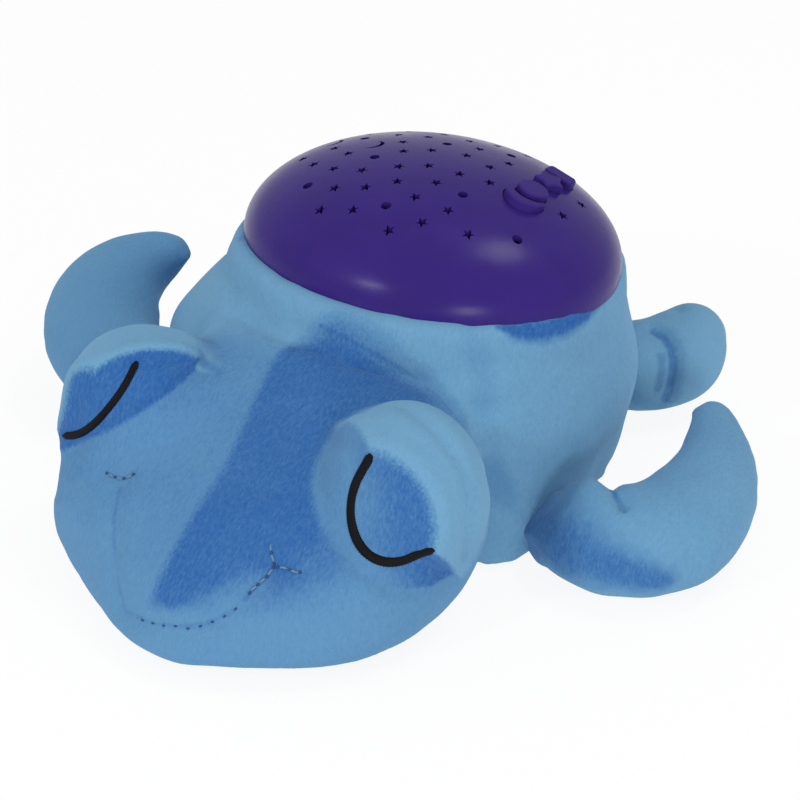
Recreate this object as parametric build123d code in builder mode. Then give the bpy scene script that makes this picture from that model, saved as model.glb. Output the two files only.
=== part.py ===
from build123d import *
import math
import os

# Turtle night light: a stuffed plush turtle around a star projector with a hard domed shell.
# The turtle looks along -Y and its left side is +X. The origin is on the floor, under the middle
# of the dome. All sizes are millimetres and all angles are degrees.

# Star shell
SHELL_WIDTH = 150.0
SHELL_LENGTH = 136.0
SHELL_RISE = 36.0
SHELL_SKIRT = 3.0
SHELL_WALL = 2.5
RIM_HEIGHT = 85.0  # underside of the shell's rim above the floor

# Star field: cut-outs that throw the light, set out on a spiral over the top of the dome
FIELD_REACH = 0.76  # share of the dome's plan that the field covers
FIELD_TURN = 137.5
FIELD_COUNT = 64
DOT_EVERY = 6
CRESCENT_EVERY = 17
STAR_RADIUS = 2.5
STAR_WAIST = 0.45  # share of a star's radius at its inner corners
STAR_POINTS = 5
DOT_RADIUS = 1.9
CRESCENT_RADIUS = 4.4
CRESCENT_SHIFT = 1.7

# Buttons in a row on the turtle's left shoulder of the dome
KEY_X = 39.5
KEY_Y = 8.0
KEY_PROUD = 3.2
KEY_GAP = 0.35
KEY_LIP = 0.7
KEY_LIP_THICK = 1.2
KEY_DROP = 1.7  # from the inside of the shell down to the button's lip
KEY_EDGE = 0.6
KEY_STEM_RADIUS = 2.4
KEY_KEEP_ACROSS = 13.0  # half of the patch that the star field leaves to the buttons
KEY_KEEP_ALONG = 27.0
MOON_ALONG = -11.7
MOON_RADIUS = 8.2
MOON_THICK = 5.0
MOON_BITE_RADIUS = 8.0
MOON_TIP = 0.7
DISC_ALONG = -6.8
DISC_RADIUS = 6.0
KEY_STAR_ALONG = 7.0
KEY_STAR_RADIUS = 6.6
KEY_STAR_WAIST = 0.62
KEY_STAR_TIP = 0.9
BAR_ALONG = 17.6
BAR_LENGTH = 12.5
BAR_WIDTH = 6.4
BAR_CORNER = 2.0

# Rubber keypad, its board and the board's posts
PAD_DEPTH = 10.0  # tops of the rubber domes below the shell's outside
PAD_GAP = 0.1
PAD_DOME_HEIGHT = 2.2
PAD_DOME_FOOT = 4.2
PAD_DOME_TOP = 2.8
PAD_SHEET = 1.2
PAD_WIDTH = 13.0
PAD_LENGTH = 52.0
PAD_CORNER = 2.0
KEY_BOARD_WIDTH = 16.0
KEY_BOARD_MARGIN = 1.7  # board beyond the posts
KEY_POST_RADIUS = 2.8
KEY_POST_GAP = 1.7  # from the end of the rubber to the posts
KEY_POST_KEEP = 7.5  # no cut-out of the star field nearer to a post
CHIP_RADIUS = 5.0
CHIP_HEIGHT = 2.0
BOARD_THICK = 1.6

# Housing: the tub that the plush is drawn over, with the flange that carries the shell
TUB_INSET = 12.0  # from the shell's rim in to the outside of the tub
TUB_WALL = 2.5
BASE_THICK = 2.5
FLANGE_THICK = 2.5
FLANGE_INSET = 1.5
LIP_WALL = 1.2
LIP_GAP = 0.2
BOSS_INSET = 8.0
BOSS_RADIUS = 3.4
BOSS_ANGLE = 45.0
BOSS_COUNT = 4

# Screws
SCREW_RADIUS = 1.4
SCREW_HEAD_RADIUS = 2.6
SCREW_HEAD_SIDES = 6
SCREW_HEAD = 1.8
SCREW_LENGTH = 8.0
SCREW_FIT = 0.1
SCREW_HOLE = 0.3

# Battery bay
CELL_COUNT = 3
CELL_DIAMETER = 10.5
CELL_LENGTH = 44.5
CELL_SPACE = 0.6
NUB_RADIUS = 1.9
NUB_HEIGHT = 0.8
BAY_GAP = 0.4  # from the foot of the column to the wall of the bay
BAY_WALL = 3.0
BAY_ROOF = 2.0
SPRING_ROOM = 4.5
SPRING_WIDTH = 4.0
SPRING_BOW = 3.6
CONTACT_THICK = 0.5
CONTACT_SIZE = 8.5
TAB_WIDTH = 3.0
TAB_RISE = 5.0
DOOR_THICK = 2.0
DOOR_RECESS = 0.5
DOOR_LEDGE = 1.5
DOOR_GAP = 0.3
DOOR_EAR_RADIUS = 5.0
DOOR_EAR_OUT = 7.0
DOOR_EAR_RISE = 1.5
DOOR_BOSS_WALL = 1.7
DOOR_BOSS_HEIGHT = 10.0

# Light: a column, its board and three lamps
COLUMN_TOP = 70.0
COLUMN_RADIUS = 6.5
COLUMN_WALL = 1.8
COLUMN_FOOT_LENGTH = 38.0
COLUMN_FOOT_WIDTH = 13.0
COLUMN_FOOT = 3.0
COLUMN_SCREW_SPAN = 26.0
COLUMN_HEAD_RADIUS = 14.0
COLUMN_HEAD = 3.0
FOOT_BOSS_HEIGHT = 8.0
LED_BOARD_RADIUS = 18.0
LED_BOARD_SCREW_SPAN = 22.0
LED_RING = 5.5
LED_RADIUS = 2.5
LED_FLANGE_RADIUS = 2.9
LED_FLANGE = 1.0
LED_BODY = 6.5
LED_CROWN = 1.4
WIRE_RADIUS = 0.8
WIRE_SIDES = 6
WIRE_BEND = 6.0
WIRE_RUN = 14.0
WIRE_RING = 16.0
RIBBON_WIDTH = 6.0
RIBBON_THICK = 1.0
RIBBON_BEND = 5.0
RIBBON_DROP = 10.0
RIBBON_END_X = 14.6
RIBBON_ACROSS = -3.0
RIBBON_RISE = 12.0

# Plush
SEAM_GAP = 0.3  # between stuffed pieces that are sewn together, and round the housing
RIM_PLUSH = 0.8  # how far the plush collar stands out from under the shell's rim

# Stuffed body, in level sections from the belly up: height, half length in Y, half width and
# middle in X, as the stuffing leans to the turtle's right
BODY_SECTIONS = [
    (0.0, 96.0, 76.0, 2.0),
    (7.0, 100.0, 81.5, -3.5),
    (22.0, 102.0, 87.0, -6.0),
    (40.0, 102.0, 92.0, -8.5),
    (58.0, 95.0, 85.0, -6.5),
    (73.0, 83.0, 78.5, -2.5),
]

# Head, in upright sections from the nose back: Y, half width, top, middle, bottom, side radius
HEAD_SECTIONS = [
    (-185.0, 6.0, 16.0, 13.5, 11.0, 2.2),
    (-183.5, 15.5, 21.0, 14.5, 6.5, 5.5),
    (-179.0, 32.0, 28.0, 16.0, 0.0, 10.0),
    (-166.0, 54.5, 38.0, 18.5, -2.4, 17.5),
    (-143.0, 74.0, 49.0, 24.0, -1.2, 22.0),
    (-112.0, 79.5, 62.0, 31.0, -1.0, 28.5),
    (-85.0, 71.5, 73.0, 37.0, 1.5, 30.5),
    (-60.0, 58.0, 78.0, 42.0, 6.0, 30.0),
]
HEAD_TURN = 3.0
HEAD_PIVOT_Y = -70.0

# Eye mounds, in sections along the way that the eye looks: distance, half width, half height
EYE_SECTIONS = [
    (29.5, 3.5, 4.0),
    (28.0, 9.5, 11.0),
    (24.0, 17.0, 20.0),
    (14.0, 24.5, 29.5),
    (0.0, 28.0, 34.0),
    (-14.0, 25.0, 30.0),
    (-26.0, 15.0, 18.0),
    (-31.0, 4.0, 4.5),
]
EYE_X = 54.0
EYE_Y = -119.0
EYE_Z = 50.0
EYE_TURN = 24.0

# Front flippers: points along the middle of each limb, and the section's half width and half
# height at those points
FLIPPER_LEFT = [
    (65.0, -33.0, 20.0),
    (85.0, -48.0, 18.0),
    (106.5, -51.0, 17.5),
    (123.5, -34.5, 17.5),
    (125.5, -4.0, 21.0),
    (118.0, 21.0, 27.0),
    (109.0, 34.5, 31.0),
    (106.0, 39.0, 32.5),
]
FLIPPER_RIGHT = [
    (-56.0, -47.0, 26.5),
    (-81.5, -58.5, 24.5),
    (-106.5, -60.5, 26.0),
    (-126.0, -42.5, 31.5),
    (-131.5, -22.0, 40.5),
    (-124.5, -6.5, 47.0),
    (-116.0, -0.5, 51.5),
    (-113.5, 1.5, 52.5),
]
FLIPPER_SECTIONS = [
    (14.0, 13.0),
    (16.0, 15.5),
    (22.0, 19.5),
    (24.0, 19.5),
    (20.0, 17.5),
    (13.0, 12.5),
    (7.0, 6.8),
    (3.5, 3.0),
]

# Rear feet: the left one, mirrored for the right
FOOT_PATH = [
    (47.0, 63.0, 23.0),
    (62.0, 75.0, 22.0),
    (72.0, 88.0, 23.5),
    (72.5, 104.0, 25.0),
    (69.0, 111.0, 24.5),
    (66.5, 113.5, 24.0),
]
FOOT_SECTIONS = [
    (16.0, 15.5),
    (20.5, 19.0),
    (22.0, 19.5),
    (15.7, 15.5),
    (8.5, 8.2),
    (2.5, 2.3),
]

# Places worked out from the sizes above
shell_x = SHELL_WIDTH / 2
shell_y = SHELL_LENGTH / 2
dome_z = RIM_HEIGHT + SHELL_SKIRT
flange_x = shell_x - FLANGE_INSET
flange_y = shell_y - FLANGE_INSET
flange_z = RIM_HEIGHT - FLANGE_THICK
lip_x = shell_x - SHELL_WALL - LIP_GAP
lip_y = shell_y - SHELL_WALL - LIP_GAP
tub_x = shell_x - TUB_INSET
tub_y = shell_y - TUB_INSET
pitch = CELL_DIAMETER + CELL_SPACE
bay_length = CELL_LENGTH + SPRING_ROOM + 2 * CONTACT_THICK
bay_width = CELL_COUNT * pitch
bay_y = COLUMN_FOOT_WIDTH / 2 + BAY_GAP + BAY_WALL + bay_width / 2
door_top = DOOR_RECESS + DOOR_THICK
ear_x = bay_length / 2 + DOOR_EAR_OUT
ear_top = door_top + DOOR_EAR_RISE
ear_seat = DOOR_RECESS + SCREW_HEAD + SCREW_FIT
cell_z = door_top + CELL_SPACE + CELL_DIAMETER / 2
bay_top = cell_z + CELL_DIAMETER / 2 + CELL_SPACE
roof_top = bay_top + BAY_ROOF
column_z = BASE_THICK + FOOT_BOSS_HEIGHT
led_top = COLUMN_TOP + BOARD_THICK
pad_foot = -PAD_DEPTH - PAD_DOME_HEIGHT
key_board_top = pad_foot - PAD_SHEET
key_board_under = key_board_top - BOARD_THICK
key_post_span = PAD_LENGTH + 2 * (KEY_POST_GAP + KEY_POST_RADIUS)
key_board_length = key_post_span + 2 * (KEY_POST_RADIUS + KEY_BOARD_MARGIN)
moon_stem = MOON_ALONG - MOON_RADIUS + MOON_THICK / 2
moon_bite = MOON_ALONG + MOON_THICK - MOON_RADIUS + MOON_BITE_RADIUS


def dome_height(x, y):
    """Height of the shell's outside over a point of its plan."""
    return dome_z + SHELL_RISE * math.sqrt(1 - (x / shell_x) ** 2 - (y / shell_y) ** 2)


# The buttons all move along the shell's normal at the middle of their row
key_point = Vector(KEY_X, KEY_Y, dome_height(KEY_X, KEY_Y))
key_normal = Vector(
    key_point.X / shell_x**2,
    key_point.Y / shell_y**2,
    (key_point.Z - dome_z) / SHELL_RISE**2,
).normalized()
key_plane = Plane(origin=key_point, x_dir=(1, 0, 0), z_dir=key_normal)
key_axis = Axis(key_point, key_normal)


def shell_level(along):
    """Height of the shell's outside over the row's plane, a distance along the row."""
    start = key_plane.from_local_coords(Vector(0, along, 0)) - Vector(0, 0, dome_z)
    sizes = (shell_x, shell_y, SHELL_RISE)
    place = [value / size for value, size in zip(start, sizes)]
    way = [value / size for value, size in zip(key_normal, sizes)]
    a = sum(w * w for w in way)
    b = sum(p * w for p, w in zip(place, way))
    c = sum(p * p for p in place) - 1
    return (math.sqrt(b * b - a * c) - b) / a


def dome(half_x, half_y, rise):
    """Half an ellipsoid over an upright skirt, standing on the plane of the rim."""
    with BuildPart() as form:
        with BuildSketch(Plane.XZ):
            with BuildLine():
                Line((0, 0), (half_x, 0))
                Line((half_x, 0), (half_x, SHELL_SKIRT))
                EllipticalCenterArc((0, SHELL_SKIRT), half_x, rise, 0, arc_size=90)
                Line((0, SHELL_SKIRT + rise), (0, 0))
            make_face()
        revolve(axis=Axis.Z)
    return Pos(0, 0, RIM_HEIGHT) * scale(form.part, by=(1, half_y / half_x, 1))


def star_corners(radius, waist):
    """Corners of a star with one point along +X."""
    corners = []
    for i in range(2 * STAR_POINTS):
        reach = radius if i % 2 == 0 else radius * waist
        angle = math.radians(180 * i / STAR_POINTS)
        corners.append((reach * math.cos(angle), reach * math.sin(angle)))
    return corners


def eased(rows):
    """Rows of numbers with one more between each two, on a smooth curve through their neighbours."""
    near, far = 9 / 16, 1 / 16  # weights of a cubic through four even places
    ends = [rows[0], *rows, rows[-1]]
    full = [rows[0]]
    for before, start, end, after in zip(ends, ends[1:], ends[2:], ends[3:]):
        full.append([near * (s + e) - far * (b + a) for b, s, e, a in zip(before, start, end, after)])
        full.append(end)
    return full


def oval(plane, half_long, half_up, half_down, end):
    """Section of four tangent arcs for a loft, its two end arcs at the plane's -X and +X."""

    def join(half):
        """Point where an end arc meets the arc over the middle."""
        radius = ((half_long - end) ** 2 + half**2 - end**2) / (2 * (half - end))
        share = end / (radius - end)
        return (half_long - end) * (1 + share), (radius - half) * share

    up_x, up_y = join(half_up)
    down_x, down_y = join(half_down)
    with BuildSketch(plane) as section:
        with BuildLine():
            ThreePointArc((down_x, -down_y), (half_long, 0), (up_x, up_y))
            ThreePointArc((up_x, up_y), (0, half_up), (-up_x, up_y))
            ThreePointArc((-up_x, up_y), (-half_long, 0), (-down_x, -down_y))
            ThreePointArc((-down_x, -down_y), (0, -half_down), (down_x, -down_y))
        make_face()
    return section.sketch


def round_end(half_long, half_wide):
    """End radius with which the arcs of an oval meet where they run at 45 degrees."""
    share = math.sqrt(0.5)
    return (half_wide * share - half_long * (1 - share)) / (2 * share - 1)


def stuffed_body(grow):
    """Stuffed form of the body, drawn in to the rim of the shell at its top."""
    collar = (RIM_HEIGHT - SEAM_GAP, shell_y + RIM_PLUSH, shell_x + RIM_PLUSH, 0.0)
    slices = []
    for height, half_long, half_wide, middle in eased(BODY_SECTIONS + [collar]):
        plane = Plane(origin=(middle, 0, height), x_dir=(0, 1, 0), z_dir=(0, 0, 1))
        end = round_end(half_long, half_wide)
        slices.append(oval(plane, half_long + grow, half_wide + grow, half_wide + grow, end + grow))
    with BuildPart() as form:
        loft(slices, ruled=True)
    return form.part


def turned_with_head(form):
    """The head and what is sewn to it look a little to one side."""
    return form.rotate(Axis((0, HEAD_PIVOT_Y, 0), (0, 0, 1)), HEAD_TURN)


def stuffed_head(grow):
    """Stuffed form of the head, flat where its chin lies on the floor."""
    slices = []
    for y, half_wide, top, middle, bottom, end in eased(HEAD_SECTIONS):
        plane = Plane(origin=(0, y, middle), x_dir=(1, 0, 0), z_dir=(0, -1, 0))
        up = top - middle + grow
        down = middle - bottom + grow
        slices.append(oval(plane, half_wide + grow, up, down, end + grow))
    with BuildPart() as form:
        loft(slices, ruled=True)
        split(bisect_by=Plane.XY, keep=Keep.TOP)
    return turned_with_head(form.part)


def stuffed_eye(side):
    """Stuffed mound of one eye, looking forward and outward."""
    look = Vector(0, -1, 0).rotate(Axis.Z, side * EYE_TURN)
    middle = Vector(side * EYE_X, EYE_Y, EYE_Z)
    slices = []
    for distance, half_wide, half_tall in eased(EYE_SECTIONS):
        plane = Plane(origin=middle + look * distance, x_dir=(0, 0, 1), z_dir=look)
        end = round_end(half_tall, half_wide)
        slices.append(oval(plane, half_tall, half_wide, half_wide, end))
    with BuildPart() as form:
        loft(slices, ruled=True)
    return turned_with_head(form.part)


def stuffed_limb(path, sections):
    """Stuffed limb along a path of points, with a section square to the path at each point."""
    points = [Vector(*point) for point in eased(path)]
    slices = []
    for i, (half_wide, half_tall) in enumerate(eased(sections)):
        way = points[min(i + 1, len(points) - 1)] - points[max(i - 1, 0)]
        plane = Plane(origin=points[i], x_dir=way.cross(Vector(0, 0, 1)), z_dir=way)
        end = round_end(half_wide, half_tall)
        slices.append(oval(plane, half_wide, half_tall, half_tall, end))
    with BuildPart() as form:
        loft(slices, ruled=True)
        split(bisect_by=Plane.XY, keep=Keep.TOP)
    return form.part


def screws(planes):
    """Hexagon head screws, one on each plane, with the head over the plane and the shank below."""
    with BuildPart() as group:
        for plane in planes:
            with BuildSketch(plane):
                RegularPolygon(SCREW_HEAD_RADIUS, SCREW_HEAD_SIDES)
            extrude(amount=SCREW_HEAD)
            with BuildSketch(plane):
                Circle(SCREW_RADIUS)
            extrude(amount=-SCREW_LENGTH)
    return group.part


def write(part, label):
    """Names a finished piece and writes it to its file."""
    part.label = label
    export_step(part, f"parts/{label}.step")


os.makedirs("parts", exist_ok=True)

# Plush: the body is cut by the housing, and each smaller piece by the larger ones it is sewn to
body_cutter = stuffed_body(SEAM_GAP)
head_cutter = stuffed_head(SEAM_GAP)

body_form = stuffed_body(0)
with BuildPart() as plush_body:
    add(body_form)
    with BuildSketch(Plane.XY):
        Ellipse(tub_x + SEAM_GAP, tub_y + SEAM_GAP)
    extrude(amount=RIM_HEIGHT, mode=Mode.SUBTRACT)
    with BuildSketch(Plane.XY.offset(flange_z - SCREW_HEAD - SEAM_GAP)):
        Ellipse(flange_x + SEAM_GAP, flange_y + SEAM_GAP)
    extrude(amount=RIM_HEIGHT, mode=Mode.SUBTRACT)
write(plush_body.part, "plush_body")

head_form = stuffed_head(0)
with BuildPart() as head:
    add(head_form)
    add(body_cutter, mode=Mode.SUBTRACT)
write(head.part, "head")

for name, side in (("eye_left", 1), ("eye_right", -1)):
    eye_form = stuffed_eye(side)
    with BuildPart() as eye:
        add(eye_form)
        add(head_cutter, mode=Mode.SUBTRACT)
        add(body_cutter, mode=Mode.SUBTRACT)
    write(eye.part, name)

for name, path in (("front_flipper_left", FLIPPER_LEFT), ("front_flipper_right", FLIPPER_RIGHT)):
    flipper_form = stuffed_limb(path, FLIPPER_SECTIONS)
    with BuildPart() as flipper:
        add(flipper_form)
        add(body_cutter, mode=Mode.SUBTRACT)
        add(head_cutter, mode=Mode.SUBTRACT)
    write(flipper.part, name)

for name, side in (("rear_foot_left", 1), ("rear_foot_right", -1)):
    foot_form = stuffed_limb([(side * x, y, z) for x, y, z in FOOT_PATH], FOOT_SECTIONS)
    with BuildPart() as foot:
        add(foot_form)
        add(body_cutter, mode=Mode.SUBTRACT)
    write(foot.part, name)

# Outlines of the buttons, each with the middle of its stem along the row and the round of its tips
with BuildSketch() as moon_outline:
    with Locations((0, MOON_ALONG)):
        Circle(MOON_RADIUS)
    with Locations((0, moon_bite)):
        Circle(MOON_BITE_RADIUS, mode=Mode.SUBTRACT)
    fillet(moon_outline.vertices(), MOON_TIP)
with BuildSketch() as disc_outline:
    with Locations((0, DISC_ALONG)):
        Circle(DISC_RADIUS)
with BuildSketch() as star_outline:
    with Locations((0, KEY_STAR_ALONG)):
        Polygon(*star_corners(KEY_STAR_RADIUS, KEY_STAR_WAIST), align=None)
    fillet(star_outline.vertices(), KEY_STAR_TIP)
with BuildSketch() as bar_outline:
    with Locations((0, BAR_ALONG)):
        RectangleRounded(BAR_LENGTH, BAR_WIDTH, BAR_CORNER)
keys = {
    "moon_button": (moon_outline.sketch, moon_stem),
    "disc_button": (disc_outline.sketch, DISC_ALONG),
    "star_button": (star_outline.sketch, KEY_STAR_ALONG),
    "bar_button": (bar_outline.sketch, BAR_ALONG),
}

# Star shell: dome, screw bosses inside the rim, posts for the keypad's board, and its cut-outs
boss_places = []
for i in range(BOSS_COUNT):
    angle = math.radians(BOSS_ANGLE + 360 * i / BOSS_COUNT)
    boss_x = (shell_x - BOSS_INSET) * math.cos(angle)
    boss_y = (shell_y - BOSS_INSET) * math.sin(angle)
    boss_places.append((boss_x, boss_y))
post_places = [(0, -key_post_span / 2), (0, key_post_span / 2)]

outer_dome = dome(shell_x, shell_y, SHELL_RISE)
inner_dome = dome(shell_x - SHELL_WALL, shell_y - SHELL_WALL, SHELL_RISE - SHELL_WALL)
with BuildPart() as hollow:
    add(inner_dome)
    with BuildSketch(Plane.XY.offset(RIM_HEIGHT)):
        with Locations(*boss_places):
            Circle(BOSS_RADIUS)
    extrude(amount=SHELL_SKIRT + SHELL_RISE, mode=Mode.SUBTRACT)
    with BuildSketch(key_plane.offset(key_board_top)):
        with Locations(*post_places):
            Circle(KEY_POST_RADIUS)
    extrude(amount=SHELL_RISE, mode=Mode.SUBTRACT)

with BuildSketch() as crescent:
    Circle(CRESCENT_RADIUS)
    with Locations((CRESCENT_SHIFT, 0)):
        Circle(CRESCENT_RADIUS, mode=Mode.SUBTRACT)

with BuildPart() as shell:
    add(outer_dome)
    add(hollow.part, mode=Mode.SUBTRACT)
    with BuildSketch(Plane.XY.offset(RIM_HEIGHT)):
        with Locations(*boss_places):
            Circle(SCREW_RADIUS + SCREW_FIT)
    extrude(amount=SCREW_LENGTH - FLANGE_THICK + SCREW_FIT, mode=Mode.SUBTRACT)
    with BuildSketch(key_plane.offset(key_board_top)):
        with Locations(*post_places):
            Circle(SCREW_RADIUS + SCREW_FIT)
    extrude(amount=SCREW_LENGTH - BOARD_THICK + SCREW_FIT, mode=Mode.SUBTRACT)
    for outline, _ in keys.values():
        with BuildSketch(key_plane.offset(-PAD_DEPTH)):
            add(outline)
            offset(amount=KEY_GAP)
        extrude(amount=2 * PAD_DEPTH, mode=Mode.SUBTRACT)
    with BuildSketch(Plane.XY.offset(dome_z)):
        for n in range(1, FIELD_COUNT):
            angle = math.radians(FIELD_TURN * n)
            reach = FIELD_REACH * math.sqrt(n / FIELD_COUNT)
            x = reach * shell_x * math.cos(angle)
            y = reach * shell_y * math.sin(angle)
            beside = key_plane.to_local_coords(Vector(x, y, dome_height(x, y)))
            if abs(beside.X) < KEY_KEEP_ACROSS and abs(beside.Y) < KEY_KEEP_ALONG:
                continue
            if min(math.dist((beside.X, beside.Y), post) for post in post_places) < KEY_POST_KEEP:
                continue
            with Locations(Location((x, y), math.degrees(angle))):
                if n % CRESCENT_EVERY == 0:
                    add(crescent.sketch)
                elif n % DOT_EVERY == 0:
                    Circle(DOT_RADIUS)
                else:
                    Polygon(*star_corners(STAR_RADIUS, STAR_WAIST), align=None)
    extrude(amount=SHELL_RISE + SHELL_WALL, mode=Mode.SUBTRACT)
write(shell.part, "star_shell")

# Buttons: cap through the shell, lip inside it, stem down to the keypad
for name, (outline, stem) in keys.items():
    level = shell_level(stem)
    lip_top = level - SHELL_WALL - KEY_DROP
    with BuildPart() as button:
        with BuildSketch(key_plane.offset(lip_top)):
            add(outline)
        extrude(amount=SHELL_WALL + KEY_DROP + KEY_PROUD)
        chamfer(button.faces().sort_by(key_axis)[-1].edges(), KEY_EDGE)
        with BuildSketch(key_plane.offset(lip_top)):
            add(outline)
            offset(amount=KEY_LIP)
        extrude(amount=-KEY_LIP_THICK)
        with BuildSketch(key_plane.offset(-PAD_DEPTH + PAD_GAP)):
            with Locations((0, stem)):
                Circle(KEY_STEM_RADIUS)
        extrude(amount=lip_top + PAD_DEPTH - PAD_GAP)
    write(button.part, name)

# Keypad, its board, the controller under its drop of resin, and the board's screws
with BuildPart() as keypad:
    with BuildSketch(key_plane.offset(key_board_top)):
        RectangleRounded(PAD_WIDTH, PAD_LENGTH, PAD_CORNER)
    extrude(amount=PAD_SHEET)
    dome_slope = math.degrees(math.atan2(PAD_DOME_FOOT - PAD_DOME_TOP, PAD_DOME_HEIGHT))
    with BuildSketch(key_plane.offset(pad_foot)):
        with Locations(*[(0, stem) for _, stem in keys.values()]):
            Circle(PAD_DOME_FOOT)
    extrude(amount=PAD_DOME_HEIGHT, taper=dome_slope)
write(keypad.part, "keypad")

with BuildPart() as keypad_board:
    with BuildSketch(key_plane.offset(key_board_under)):
        RectangleRounded(KEY_BOARD_WIDTH, key_board_length, PAD_CORNER)
        with Locations(*post_places):
            Circle(SCREW_RADIUS + SCREW_HOLE, mode=Mode.SUBTRACT)
    extrude(amount=BOARD_THICK)
write(keypad_board.part, "keypad_board")

with BuildPart() as controller:
    with BuildSketch(key_plane.offset(key_board_under)):
        Circle(CHIP_RADIUS)
    extrude(amount=-CHIP_HEIGHT)
    chamfer(controller.faces().sort_by(key_axis)[0].edges(), CHIP_HEIGHT / 2)
write(controller.part, "controller_chip")

under_board = [key_plane.from_local_coords(Vector(x, y, key_board_under)) for x, y in post_places]
write(screws([Plane(origin=place, z_dir=-key_normal) for place in under_board]), "keypad_screws")

# Housing: tub, flange and lip, battery bay, bosses
with BuildSketch() as door_outline:
    with Locations((0, bay_y)):
        Rectangle(bay_length + 2 * DOOR_LEDGE, bay_width + 2 * DOOR_LEDGE)
        SlotCenterToCenter(2 * ear_x, 2 * DOOR_EAR_RADIUS)
ear_places = [(-ear_x, bay_y), (ear_x, bay_y)]
foot_places = [(-COLUMN_SCREW_SPAN / 2, 0), (COLUMN_SCREW_SPAN / 2, 0)]
cell_rows = [bay_y + pitch * (i - (CELL_COUNT - 1) / 2) for i in range(CELL_COUNT)]
wall_x = bay_length / 2
tab_places = [
    (wall_x - CONTACT_THICK / 2, cell_rows[0]),
    (-wall_x + CONTACT_THICK / 2, cell_rows[-1]),
]

with BuildPart() as housing:
    with BuildSketch(Plane.XY):
        Ellipse(tub_x, tub_y)
    extrude(amount=RIM_HEIGHT)
    with BuildSketch(Plane.XY.offset(flange_z)):
        Ellipse(flange_x, flange_y)
    extrude(amount=FLANGE_THICK)
    with BuildSketch(Plane.XY.offset(RIM_HEIGHT)):
        Ellipse(lip_x, lip_y)
        Ellipse(lip_x - LIP_WALL, lip_y - LIP_WALL, mode=Mode.SUBTRACT)
    extrude(amount=SHELL_SKIRT)
    with BuildSketch(Plane.XY.offset(BASE_THICK)):
        Ellipse(tub_x - TUB_WALL, tub_y - TUB_WALL)
    extrude(amount=RIM_HEIGHT, mode=Mode.SUBTRACT)
    with BuildSketch(Plane.XY):
        with Locations((0, bay_y)):
            Rectangle(bay_length + 2 * BAY_WALL, bay_width + 2 * BAY_WALL)
    extrude(amount=roof_top)
    with BuildSketch(Plane.XY):
        with Locations(*ear_places):
            Circle(DOOR_EAR_RADIUS + DOOR_GAP + DOOR_BOSS_WALL)
    extrude(amount=ear_top + DOOR_BOSS_HEIGHT)
    with BuildSketch(Plane.XY):
        with Locations(*foot_places):
            Circle(BOSS_RADIUS)
    extrude(amount=column_z)
    with BuildSketch(Plane.XY):
        with Locations((0, bay_y)):
            Rectangle(bay_length, bay_width)
    extrude(amount=bay_top, mode=Mode.SUBTRACT)
    with BuildSketch(Plane.XY):
        add(door_outline.sketch)
        offset(amount=DOOR_GAP)
    extrude(amount=door_top, mode=Mode.SUBTRACT)
    with BuildSketch(Plane.XY):
        with Locations(*ear_places):
            Circle(DOOR_EAR_RADIUS + DOOR_GAP)
    extrude(amount=ear_top, mode=Mode.SUBTRACT)
    with BuildSketch(Plane.XY.offset(ear_top)):
        with Locations(*ear_places):
            Circle(SCREW_RADIUS + SCREW_FIT)
    extrude(amount=SCREW_LENGTH, mode=Mode.SUBTRACT)
    with BuildSketch(Plane.XY.offset(column_z)):
        with Locations(*foot_places):
            Circle(SCREW_RADIUS + SCREW_FIT)
    extrude(amount=COLUMN_FOOT - SCREW_LENGTH - SCREW_FIT, mode=Mode.SUBTRACT)
    with BuildSketch(Plane.XY.offset(flange_z)):
        with Locations(*boss_places):
            Circle(SCREW_RADIUS + SCREW_HOLE)
    extrude(amount=FLANGE_THICK, mode=Mode.SUBTRACT)
    with BuildSketch(Plane.XY.offset(bay_top)):
        with Locations(*tab_places):
            Rectangle(CONTACT_THICK + 2 * SCREW_HOLE, TAB_WIDTH + 2 * SCREW_HOLE)
    extrude(amount=BAY_ROOF, mode=Mode.SUBTRACT)
write(housing.part, "housing")
under_flange = [Plane(origin=(x, y, flange_z), z_dir=(0, 0, -1)) for x, y in boss_places]
write(screws(under_flange), "housing_screws")

# Battery door and its screws
with BuildPart() as battery_door:
    with BuildSketch(Plane.XY.offset(DOOR_RECESS)):
        add(door_outline.sketch)
    extrude(amount=DOOR_THICK)
    with BuildSketch(Plane.XY.offset(door_top)):
        with Locations(*ear_places):
            Circle(DOOR_EAR_RADIUS)
    extrude(amount=DOOR_EAR_RISE)
    with BuildSketch(Plane.XY.offset(DOOR_RECESS)):
        with Locations(*ear_places):
            Circle(SCREW_HEAD_RADIUS + SCREW_HOLE)
    extrude(amount=ear_seat - DOOR_RECESS, mode=Mode.SUBTRACT)
    with BuildSketch(Plane.XY.offset(ear_seat)):
        with Locations(*ear_places):
            Circle(SCREW_RADIUS + SCREW_FIT)
    extrude(amount=ear_top - ear_seat, mode=Mode.SUBTRACT)
write(battery_door.part, "battery_door")
under_ears = [Plane(origin=(x, y, ear_seat), z_dir=(0, 0, -1)) for x, y in ear_places]
write(screws(under_ears), "battery_door_screws")

# Cells, laid side by side and turned end for end, and the contacts that join them in a row
with BuildPart() as batteries:
    for i, y in enumerate(cell_rows):
        side = 1 if i % 2 == 0 else -1
        tip = side * (wall_x - CONTACT_THICK)
        with BuildSketch(Plane.YZ.offset(tip)):
            with Locations((y, cell_z)):
                Circle(NUB_RADIUS)
        extrude(amount=-side * NUB_HEIGHT)
        with BuildSketch(Plane.YZ.offset(tip - side * NUB_HEIGHT)):
            with Locations((y, cell_z)):
                Circle(CELL_DIAMETER / 2)
        extrude(amount=-side * (CELL_LENGTH - NUB_HEIGHT))
write(batteries.part, "batteries")

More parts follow.
